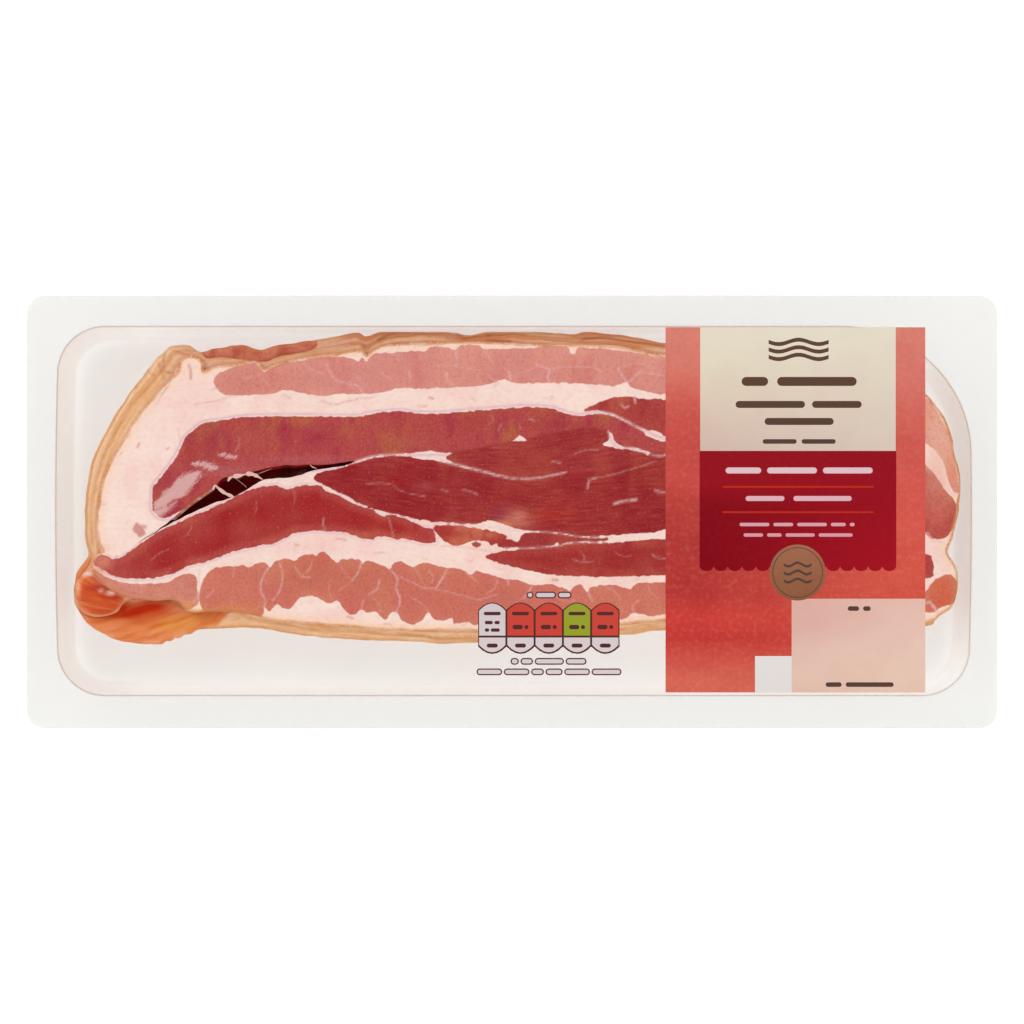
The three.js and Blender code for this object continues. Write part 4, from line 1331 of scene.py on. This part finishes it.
def meat_material():
    g = Graph("meat")
    place = g.field("pattern", vector=True)
    wander = g.math("SUBTRACT", g.noise(place, 0.9, 4), 0.5)
    grain = g.noise(g.field("grain", vector=True), 1.0, 4)
    fine = g.noise(place, 1.6, 4)

    edge = g.math("MULTIPLY_ADD", wander, 0.65, g.field("lean"))
    edge = g.math("MULTIPLY_ADD", g.math("SUBTRACT", fine, 0.5), 0.35, edge)
    is_lean = g.ramp(edge, -0.16, 0.14)

    streak = g.field("streak")
    tone, shade = g.field("lean_tone", vector=True), g.field("lean_shade", vector=True)
    lean = g.mix(g.ramp(grain, 0.42, 0.66), tone, shade)
    pale = g.math("MULTIPLY", g.ramp(grain, 0.4, 0.26), streak)
    lean = g.mix(g.math("MULTIPLY", pale, 0.2), lean, linear((216, 126, 116)))
    speck = g.math("MULTIPLY", g.ramp(fine, 0.6, 0.74), 0.26)
    lean = g.mix(speck, lean, linear((226, 150, 138)))
    lean = g.mix(g.ramp(fine, 0.52, 0.3), lean, g.mix(1.0, lean, (0.87, 0.78, 0.79), "MULTIPLY"))
    thread = g.math("MULTIPLY", g.ramp(g.math("ABSOLUTE", wander), 0.028, 0.0), g.field("net"))
    lean = g.mix(g.math("MULTIPLY", thread, 0.5), lean, linear((146, 36, 56)))
    feathers = g.noise(place, 3.2, 5)
    wisp = g.math("MULTIPLY_ADD", g.math("SUBTRACT", feathers, 0.5), 1.7, g.field("wisp"))
    lean = g.mix(g.ramp(wisp, 0.4, 0.95, 0.0, 0.85), lean, linear((229, 184, 178)))

    tone, shade = g.field("fat_tone", vector=True), g.field("fat_shade", vector=True)
    fat = g.mix(g.ramp(grain, 0.42, 0.7), tone, shade)
    vessel = g.math("MULTIPLY", g.field("vessel"), g.ramp(fine, 0.3, 0.55, 0.4, 1.0))
    fat = g.mix(g.math("MULTIPLY", vessel, 0.75), fat, linear((208, 112, 106)))
    # painted shade in the creases of the folds
    fat = g.mix(g.math("MULTIPLY", g.field("fold_shade"), 0.8), fat, FOLD_SHADE)

    meat = g.mix(is_lean, fat, lean)
    seam = g.math("MULTIPLY", g.field("seam"), g.ramp(wander, -0.16, 0.08, 0.35, 1.0))
    meat = g.mix(g.math("MULTIPLY", seam, 0.85), meat, GRISTLE)
    rind = g.math("MULTIPLY", g.field("rind"), g.ramp(fine, 0.25, 0.6, 0.5, 1.0))
    meat = g.mix(rind, meat, BAND_EDGE)
    dark = g.field("dark")
    # painted shade of the gap, in its deep red
    meat = g.mix(dark, meat, GAP_SHADE_RED)

    g.bump(g.math("MULTIPLY_ADD", grain, 0.7, fine), 0.09, 0.5)
    gloss = g.math("MULTIPLY_ADD", dark, -0.2, 0.2)
    return g.set(Base_Color=meat, Roughness=0.3, Specular_IOR_Level=gloss)


def ring_of(inset, corner, peel, box, bow=0.0):
    """A rounded rectangle as points, anticlockwise from the lower left, always the same number of them."""
    left, right = box["left"] + inset, box["right"] - inset
    bottom, top = box["bottom"] + inset, box["top"] - inset
    corners = [
        (left + corner, bottom + corner, 180, corner),
        (right - corner, bottom + corner, 270, corner),
        (right - peel, top - peel, 0, peel),
        (left + corner, top - corner, 90, corner),
    ]
    points = []
    for k, (x, y, start, radius) in enumerate(corners):
        turn = np.radians(start + 90 * np.arange(CORNER_STEPS + 1) / CORNER_STEPS)
        points.append(np.column_stack([x + radius * np.cos(turn), y + radius * np.sin(turn)]))
        next_x, next_y, next_start, next_radius = corners[(k + 1) % 4]
        begin = points[-1][-1]
        end = np.array([next_x, next_y]) + next_radius * np.array(
            [math.cos(math.radians(next_start)), math.sin(math.radians(next_start))]
        )
        steps = SHORT_STEPS if k % 2 else LONG_STEPS
        share = (np.arange(1, steps) / steps)[:, None]
        points.append(begin + share * (end - begin))
    ring = np.vstack(points)
    side = np.where(ring[:, 0] < (left + right) / 2, -1.0, 1.0)
    reach = np.where(side < 0, -left, right)
    near = smoothstep(0.75, 1.0, side * ring[:, 0] / reach)
    middle, half = (bottom + top) / 2, (top - bottom) / 2
    ring[:, 0] += side * bow * near * (1 - ((ring[:, 1] - middle) / half) ** 2)
    return ring


def flange_ring(inset=0.0):
    half_length, half_width = PACK_LENGTH / 2, PACK_WIDTH / 2
    box = {"left": -half_length, "right": half_length, "bottom": -half_width, "top": half_width}
    return ring_of(inset, FLANGE_CORNER - inset, FLANGE_CORNER - inset, box)


def well_ring(inset):
    return ring_of(inset, max(MOUTH_CORNER - inset, 1), PEEL_CORNER - inset, MOUTH, MOUTH_BOW)


def loft(name, rings):
    """A closed skin through rings of equal count, flat across the first and the last."""
    count = len(rings[0])
    faces = [tuple(range(count))[::-1]]
    for r in range(len(rings) - 1):
        for k in range(count):
            a = r * count + k
            b = r * count + (k + 1) % count
            faces.append((a, b, b + count, a + count))
    faces.append(tuple(range((len(rings) - 1) * count, len(rings) * count)))
    return mesh_object(name, np.vstack(rings), faces)


def raised(ring, height):
    return np.column_stack([ring, np.full(len(ring), height)])


def make_tray():
    """The clear tray: up the outside of the well, round the flange and down the inside."""
    inset = np.array(WELL_INSET)
    height = np.array(WELL_HEIGHT)
    run = np.gradient(np.column_stack([inset, height]), axis=0)
    run /= np.linalg.norm(run, axis=1)[:, None]
    outer_inset = inset + run[:, 1] * WALL
    outer_height = np.maximum(height - np.abs(run[:, 0]) * WALL, 0)
    rings = [raised(well_ring(i), z) for i, z in zip(outer_inset[::-1], outer_height[::-1])]
    low = PACK_HEIGHT - WALL
    rings += [
        raised(flange_ring(EDGE_ROUND), low),
        raised(flange_ring(0), low + EDGE_ROUND),
        raised(flange_ring(0), PACK_HEIGHT - EDGE_ROUND),
        raised(flange_ring(EDGE_ROUND), PACK_HEIGHT),
    ]
    first_inner = len(rings)
    rings += [raised(well_ring(i), z) for i, z in zip(inset, height)]
    tray = loft("clear_tray", rings)
    points = read_points(tray)
    count = len(rings[0])
    lip = np.zeros(len(points))
    lip_ring = first_inner + LIP_STEP
    lip[lip_ring * count : (lip_ring + 1) * count] = 1
    outline = np.vstack([on_pack(THIRD_EDGES[side]) for side in ("belly", "right", "skin", "left")])
    away = np.min(np.linalg.norm(points[:, None, :2] - outline[None], axis=2), axis=1)
    well = depth_in(well_ring(0.05), points[:, :2]) > 0
    across, up = points[:, 0], points[:, 1]
    # Painted shade on the walls of the well, tinted with the painted reflection of the meat, stronger on some
    # sides than on others.
    right_share = WALL_SHADE["right low"]
    right_share = right_share + (WALL_SHADE["right"] - right_share) * smoothstep(-46, -22, up)
    side = WALL_SHADE["left"] * smoothstep(-80, -112, across) + right_share * smoothstep(100, 116, across)
    side = np.maximum(side, WALL_SHADE["top"] * smoothstep(34, 48, up))
    side = np.maximum(side, WALL_SHADE["bottom"] * smoothstep(-40, -48, up))
    shade = smoothstep(0.5, 4.0, points[:, 2]) * side
    set_field(tray, "shade", shade * well)
    # warmth: painted reflection of the meat's colour in the clear plastic, strongest beside the rashers
    set_field(tray, "warmth", 0.45 * np.exp(-away / 6.0) * well)
    set_field(tray, "lip", lip)
    set_field(tray, "flange", 1.0 - well)
    smooth_shading(tray)
    return tray


def plastic_material():
    g = Graph("clear_plastic")
    flange, lip = g.field("flange"), g.field("lip")
    tint = g.mix(flange, linear((228, 225, 215)), linear((217, 216, 211)))
    # painted reflection of the meat, strongest in the well beside the rashers
    tint = g.mix(g.field("warmth"), tint, linear((216, 170, 150)))
    # painted shade and painted reflection of the meat on the walls of the well
    tint = g.mix(g.field("shade"), tint, linear((197, 158, 114)))
    # painted dark line of refracted meat colour along the bend of the mouth
    tint = g.mix(lip, tint, linear((168, 128, 108)))
    alpha = g.math("MULTIPLY_ADD", flange, 0.12, 0.2)
    alpha = g.math("MULTIPLY_ADD", g.field("shade"), 0.12, alpha)
    alpha = g.math("MULTIPLY_ADD", lip, 0.4, alpha)
    return g.set(Base_Color=tint, Alpha=alpha, Roughness=0.2, IOR=1.5, Specular_IOR_Level=0.2)


def make_film():
    """The lidding film, drawn tight over the flange and dipping a little over the meat."""
    steps_u, steps_v = FILM_STEPS
    rim = flange_ring()
    u = np.linspace(-1, 1, steps_u + 1)
    v = np.linspace(-1, 1, steps_v + 1)
    grid = np.stack(np.meshgrid(u * PACK_LENGTH / 2, v * PACK_WIDTH / 2, indexing="ij"), axis=-1)
    corner = np.array([PACK_LENGTH / 2 - FLANGE_CORNER, PACK_WIDTH / 2 - FLANGE_CORNER])
    beyond = np.maximum(np.abs(grid) - corner, 0)
    reach = np.linalg.norm(beyond, axis=-1)
    largest = np.maximum(beyond.max(-1), 1e-9)
    squeeze = np.where(reach > 0, largest / np.maximum(reach, 1e-9), 1.0)
    grid = np.sign(grid) * (np.minimum(np.abs(grid), corner) + beyond * squeeze[..., None])
    mouth = well_ring(0.0)

    def lie(at):
        depth = np.zeros(len(at))
        inside = is_inside(mouth, at)
        depth[inside] = distance_to(mouth, at[inside], closed=True)
        dip = FILM_DIP * smoothstep(0, 9, depth) * (0.4 + layered_mottle(at, 26.0, 5))
        return PACK_HEIGHT + FILM_LIFT - dip

    film = slice_mesh("lidding_film", grid, lie, FILM_THICKNESS, 2)
    smooth_shading(film)
    return film


def film_material():
    """Clear film: it mirrors a little when faced, and more at a slant."""
    g = Graph("film")
    slant = g.tree.nodes.new("ShaderNodeLayerWeight").outputs["Facing"]
    alpha = g.ramp(slant, 0.25, 1.0, 0.012, 0.3)
    return g.set(Base_Color=(1.0, 1.0, 1.0), Metallic=1.0, Alpha=alpha, Roughness=0.07)


def print_material(name, left, right=None, texture_and_shade=0.0, roughness=0.5):
    """Ink on paper, from its stops down the left side and down the right, mixed across."""
    g = Graph(name)
    place = g.place()
    split = g.tree.nodes.new("ShaderNodeSeparateXYZ")
    g.put(place, split.inputs["Vector"])
    rows = [float(on_pack((0, y))[1]) * MM for y in (LABEL_TOP, LABEL_BOTTOM)]
    down = g.ramp(split.outputs["Y"], *rows, kind="LINEAR")
    ink = g.stops(down, left)
    if right:
        ends = [float(on_pack((x, 0))[0]) * MM for x in LABEL_ENDS]
        ink = g.mix(g.ramp(split.outputs["X"], *ends, kind="LINEAR"), ink, g.stops(down, right))
    # darker cloudy patches: partly mottled ink, partly painted shade of the film's undulation; the same
    # clouds raise the bump
    clouds = g.noise(place, 130, 6)
    darker_ink_and_shade = g.math("MULTIPLY", g.ramp(clouds, 0.62, 0.34), texture_and_shade)
    ink = g.mix(darker_ink_and_shade, ink, g.mix(1.0, ink, (0.9, 0.78, 0.8), "MULTIPLY"))
    fibres = g.noise(place, 800, 3)
    ink = g.mix(g.math("MULTIPLY", g.ramp(fibres, 0.45, 0.8), 0.13 * texture_and_shade), ink, (0.9, 0.62, 0.54))
    ink = g.mix(g.math("MULTIPLY", g.ramp(fibres, 0.55, 0.25), 0.35 * texture_and_shade), ink,
                g.mix(1.0, ink, (0.92, 0.8, 0.82), "MULTIPLY"))
    ink = g.mix(1.0, ink, (PRINT_TONE, PRINT_TONE, PRINT_TONE), "MULTIPLY")
    g.bump(clouds, 0.02, 0.2)
    return g.set(Base_Color=ink, Roughness=roughness, Specular_IOR_Level=0.03)


def attach(made, node=None):
    """Fixes a piece to the pack, in place of a node of the frame where one is named."""
    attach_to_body(made, "root")
    if node:
        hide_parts(node)


def make_inks(part, inks):
    return {name: print_material(f"{part}_{name}", *ink) for name, ink in inks.items()}


def print_on(made, material):
    """Gives a printed field its ink, and keeps it from throwing shade on the meat."""
    made.data.materials.clear()
    made.data.materials.append(material)
    made.visible_shadow = False
    made.visible_diffuse = False


def plate(name, ring, low, high, material):
    """A thin printed field with this outline, in millimetres."""
    made = prism(name, anticlockwise(np.asarray(ring, dtype=float)), low, high)
    print_on(made, material)
    attach(made)


def rectangle(left, top, right, bottom):
    return on_pack([(left, bottom), (right, bottom), (right, top), (left, top)])


def pill(left, top, right, bottom):
    """A bar with round ends."""
    radius = min(bottom - top, right - left) / 2
    middle = (top + bottom) / 2
    turn = np.radians(np.arange(-90, 91, 15))
    right_end = [(right - radius + radius * math.cos(t), middle + radius * math.sin(t)) for t in turn]
    left_end = [(left + radius - radius * math.cos(t), middle - radius * math.sin(t)) for t in turn]
    return on_pack(right_end + left_end)


def disc(x, y, radius, count=72):
    turn = np.linspace(0, 2 * math.pi, count, endpoint=False)
    return on_pack(np.column_stack([x + radius * np.cos(turn), y + radius * np.sin(turn)]))


def scalloped(left, top, right, bottom, scallops, depth):
    """A field whose lower edge hangs in small round scallops."""
    points = [(left, top)]
    width = (right - left) / scallops
    for k in range(scallops):
        for step in range(9):
            share = step / 8
            drop = depth * math.sqrt(max(1 - (2 * share - 1) ** 2, 0))
            points.append((left + (k + share) * width, bottom - depth + drop))
    points.append((right, top))
    return on_pack(points)


def join_pieces(name, pieces):
    """Several plates of one ink as one piece."""
    points, faces, start = [], [], 0
    for made in pieces:
        points.append(read_points(made))
        faces += [tuple(start + v for v in face.vertices) for face in made.data.polygons]
        start += len(made.data.vertices)
        bpy.data.objects.remove(made)
    return mesh_object(name, np.vstack(points), faces)


def printed_bars(name, bars, low, high, material):
    """Bars of one ink as one piece."""
    made = join_pieces(name, [prism("bar", anticlockwise(bar), low, high) for bar in bars])
    print_on(made, material)
    attach(made)


def words(left, right, middle, height, lengths, space=4.0, trim=0.0):
    """Bars standing for a line of words, filling the line from left to right, each trimmed all round."""
    free = right - left - space * (len(lengths) - 1)
    bars = []
    x = left
    for length in lengths:
        width = free * length / sum(lengths)
        bars.append(pill(x + trim, middle - height / 2 + trim, x + width - trim, middle + height / 2 - trim))
        x += width + space
    return bars


def lines_of_words(lines):
    return sum([words(*line) for line in lines], [])


def wavy_band(left, right, middle, thickness, swell, waves):
    """A ribbon that rises and falls, like a rasher seen from the side."""
    x = np.linspace(left, right, 40)
    y = middle + swell * np.sin((x - left) / (right - left) * waves * 2 * math.pi)
    upper = np.column_stack([x, y - thickness / 2])
    lower = np.column_stack([x, y + thickness / 2])[::-1]
    return on_pack(np.vstack([upper, lower]))


def make_label():
    inks = make_inks("label", LABEL_INKS)
    top = float(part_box("label")[1][2]) / MM
    low = top - LABEL_SUNK
    first, second, third = [top + layer for layer in LAYERS]
    print_on(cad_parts["label"], inks["coral"])

    crimson_ring = scalloped(*CRIMSON_FIELD, SCALLOPS, SCALLOP_DEPTH)
    plate("label_cream_field", rectangle(*CREAM_FIELD), low, first, inks["cream"])
    plate("label_crimson_field", crimson_ring, low, first, inks["crimson"])
    plate("label_blush_field", rectangle(*BLUSH_FIELD), low, first, inks["blush"])
    plate("label_pale_square", rectangle(*PALE_SQUARE), low, first, inks["pale"])

    rules = [rectangle(*rule) for rule in RULES]
    printed_bars("label_rules", rules, low, second, inks["orange"])
    dark = [wavy_band(*ribbon) for ribbon in RIBBONS] + lines_of_words(BROWN_LINES)
    printed_bars("label_brown_marks", dark, low, second, inks["brown"])
    printed_bars("label_rose_marks", lines_of_words(ROSE_LINES), low, second, inks["rose"])

    plate("label_badge", disc(*BADGE, BADGE_RADIUS), low, second, inks["kraft"])
    ribbons = [wavy_band(*ribbon) for ribbon in BADGE_RIBBONS]
    printed_bars("label_badge_marks", ribbons, low, third, inks["brown"])
    ring_piece("label_badge_ring", BADGE, *BADGE_RING, low, third, inks["brown"], "label")
    printed_bars("label_date_marks", lines_of_words(DATE_LINES), low, second, inks["brown"])


def ring_piece(name, centre, inner, outer, low, high, material, slot, count=72):
    """A flat round ring."""
    turn = np.linspace(0, 2 * math.pi, count, endpoint=False)
    around = np.column_stack([np.cos(turn), np.sin(turn)])
    loops = []
    for radius, height in ((inner, low), (outer, low), (outer, high), (inner, high)):
        place = on_pack(np.array(centre) + around * radius * np.array([1, -1]))
        loops.append(raised(place, height))
    faces = []
    for r in range(4):
        for k in range(count):
            a, b = r * count + k, r * count + (k + 1) % count
            c, d = ((r + 1) % 4) * count + (k + 1) % count, ((r + 1) % 4) * count + k
            faces.append((a, b, c, d))
    made = mesh_object(name, np.vstack(loops), faces)
    made.data.materials.append(material)
    attach(made)


def half_cell(left, right, level, rise, flat):
    """One half of a cell: straight at flat and crowned at level, where rise points away from flat."""
    points = [(left, flat), (right, flat)]
    for share in np.linspace(1, 0, 13):
        x = left + share * (right - left)
        points.append((x, level + rise * 4 * share * (1 - share)))
    return on_pack(points)


def make_panel():
    inks = make_inks("panel", PANEL_INKS)
    bottom, top = [float(corner[2]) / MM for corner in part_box("panel")]
    low = top - PANEL_SUNK
    first, second, _ = [top + layer for layer in LAYERS]
    print_on(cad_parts["panel"], inks["ink"])
    upper_crown = PANEL_TOP + PANEL_CROWN + 2.2 * PANEL_LINE
    lower_crown = PANEL_BOTTOM - PANEL_CROWN - 1.6 * PANEL_LINE
    marks = []
    for k, ink in enumerate(CELL_INKS):
        left = PANEL_EDGES[k] + PANEL_LINE
        right = PANEL_EDGES[k + 1] - PANEL_LINE
        upper = half_cell(left, right, upper_crown, -PANEL_CROWN, PANEL_DIVIDER - PANEL_LINE)
        lower = half_cell(left, right, lower_crown, PANEL_CROWN, PANEL_DIVIDER + PANEL_LINE)
        plate(f"panel_upper_{k + 1}", upper, low, first, inks[ink])
        plate(f"panel_lower_{k + 1}", lower, low, first, inks["white"])
        middle = (left + right) / 2
        for half_length, *line in CELL_LINES if k else FIRST_CELL_LINES:
            marks += words(middle - half_length, middle + half_length, *line)
    printed_bars("panel_marks", marks, low, second, inks["ink"])
    outlined = (("caption_edges", "ink", 0.0), ("caption_marks", "white", CAPTION_OUTLINE))
    for layer, (name, ink, trim) in zip(CAPTION_LAYERS, outlined):
        bars = []
        for left, right, row, lengths in CAPTION_LINES:
            bars += words(left, right, row, CAPTION_HEIGHT, lengths, CAPTION_SPACE, trim)
        printed_bars(name, bars, bottom, bottom + layer, inks[ink])


def make_rashers():
    meat = meat_material()
    for level in range(RASHERS):
        grid_size = LOWEST_GRID if level == RASHERS - 1 else GRIDS[min(level, len(GRIDS) - 1)]
        columns, rows, column_shares, row_shares, stride = grid_size
        sides = rasher_sides(level)

        def lie(at, level=level):
            return stack_height(level) + wave(at, level) + curl(at, level)

        grid = patch_between(sides, spread(columns, column_shares), spread(rows, row_shares))
        rasher = slice_mesh(f"meat_{level + 1:02d}", grid, lie, RASHER_THICKNESS, stride)
        if level < SPLIT_DEPTH:
            cut_split(rasher, level)
        paint_rasher(rasher, level, sides)
        smooth_shading(rasher, 50)
        rasher.data.materials.clear()
        rasher.data.materials.append(meat)
        attach(rasher, f"rasher_{level + 1:02d}")


def curl(at, level):
    """How far the curled end of the second rasher rises beside the top one, at the lower left."""
    if level != 1:
        return np.zeros(len(at))
    swelling = blob(at, (96, 598), (19, 15)) + 0.5 * blob(at, (116, 604), (12, 7))
    ring = np.vstack([flowing(on_pack(TOP_EDGES[side])) for side in ("left", "belly")])
    clear = smoothstep(0.1, 2.2, distance_to(ring, at))
    return np.clip(swelling, 0, 1) * clear


def make_strands():
    """Torn threads of tissue that bridge the gap between the muscles."""
    g = Graph("tissue")
    g.set(Base_Color=linear((232, 190, 176)), Roughness=0.3)
    height = stack_height(0) + RASHER_THICKNESS
    points, faces = [], []
    for half_width, line in STRANDS:
        path = flowing(on_pack([p[:2] for p in line]), step=0.25)
        drop = np.interp(np.linspace(0, 1, len(path)), np.linspace(0, 1, len(line)), [p[2] for p in line])
        lift = wave(path, 0) + height - drop
        ahead = np.gradient(path, axis=0)
        side = np.column_stack([-ahead[:, 1], ahead[:, 0]])
        side /= np.maximum(np.linalg.norm(side, axis=1), 1e-9)[:, None]
        swell = np.sin(np.linspace(0, math.pi, len(path))) ** 0.6
        taper = 0.15 + swell * (0.25 + 0.9 * mottle(path, 0.7, 6))
        start = sum(len(p) for p in points)
        for k in range(len(path)):
            turn = np.linspace(0, 2 * math.pi, 8, endpoint=False)
            reach = half_width * PIXEL * taper[k]
            place = path[k] + side[k] * np.cos(turn)[:, None] * reach
            points.append(np.column_stack([place, lift[k] + 0.3 * reach * np.sin(turn)]))
        faces.append(tuple(start + v for v in range(8)))
        for k in range(len(path) - 1):
            for v in range(8):
                a, b = start + 8 * k + v, start + 8 * k + (v + 1) % 8
                faces.append((a, a + 8, b + 8, b))
        faces.append(tuple(start + 8 * (len(path) - 1) + v for v in reversed(range(8))))
    made = mesh_object("torn_tissue", np.vstack(points), faces)
    smooth_shading(made)
    made.data.materials.append(g.material)
    attach(made)


def make_stage():
    """A white table lit from within, so that nothing on it casts a hard shadow."""
    corners = [(x * TABLE_HALF, y * TABLE_HALF, TABLE_TOP) for x, y in ((-1, -1), (1, -1), (1, 1), (-1, 1))]
    floor = mesh_object("floor", corners, [(0, 1, 2, 3)])
    g = Graph("floor")
    g.set(Base_Color=(0.45, 0.45, 0.45), Roughness=1.0, Specular_IOR_Level=0.0)
    g.shader.inputs["Emission Color"].default_value = (1, 1, 1, 1)
    g.shader.inputs["Emission Strength"].default_value = TABLE_GLOW
    floor.data.materials.append(g.material)


def make_world():
    """White light from all round, dim straight overhead, so that nothing flat mirrors it."""
    world = bpy.data.worlds.new("studio")
    bpy.context.scene.world = world
    world.use_nodes = True
    tree = world.node_tree
    background = tree.nodes["Background"]
    place = tree.nodes.new("ShaderNodeTexCoord")
    split = tree.nodes.new("ShaderNodeSeparateXYZ")
    dim = tree.nodes.new("ShaderNodeMapRange")
    dim.interpolation_type = "SMOOTHSTEP"
    for name, value in (("From Min", DIM_FROM), ("From Max", DIM_TO), ("To Min", WORLD_STRENGTH),
                        ("To Max", OVERHEAD_STRENGTH)):
        dim.inputs[name].default_value = value
    tree.links.new(place.outputs["Generated"], split.inputs["Vector"])
    tree.links.new(split.outputs["Z"], dim.inputs["Value"])
    tree.links.new(dim.outputs["Result"], background.inputs["Strength"])
    background.inputs["Color"].default_value = (1.0, 1.0, 1.0, 1.0)


def make_lamp(name, place, size, power):
    lamp = bpy.data.lights.new(name, "AREA")
    lamp.shape = "DISK"
    lamp.size = size
    lamp.energy = power
    made = bpy.data.objects.new(name, lamp)
    made.location = place
    direction = -np.array(place)
    made.rotation_euler = (
        math.atan2(math.hypot(direction[0], direction[1]), -direction[2]),
        0,
        math.atan2(direction[1], direction[0]) - math.pi / 2,
    )
    bpy.context.collection.objects.link(made)


def make_camera():
    camera = bpy.data.cameras.new("camera")
    camera.sensor_width = 36.0
    camera.lens = camera.sensor_width * CAMERA_DISTANCE / (FRAME_PIXELS * PIXEL * MM)
    camera.clip_end = 20
    made = bpy.data.objects.new("camera", camera)
    made.location = (0, 0, CAMERA_DISTANCE + PACK_HEIGHT * MM)
    bpy.context.collection.objects.link(made)
    bpy.context.scene.camera = made


def set_view():
    view = bpy.context.scene.view_settings
    view.view_transform = "Standard"
    view.look = "None"
    view.exposure = 0
    view.gamma = 1


make_stage()
make_world()
make_lamp("lamp_left", (-0.9, 0.5, 0.9), 0.7, 3.0)
make_lamp("lamp_right", (0.8, -0.3, 0.9), 0.7, 1.6)
make_camera()
set_view()

for part, make, material in (("tray", make_tray, plastic_material), ("film", make_film, film_material)):
    sheet = make()
    sheet.data.materials.append(material())
    attach(sheet, part)
make_rashers()
make_strands()
make_label()
make_panel()
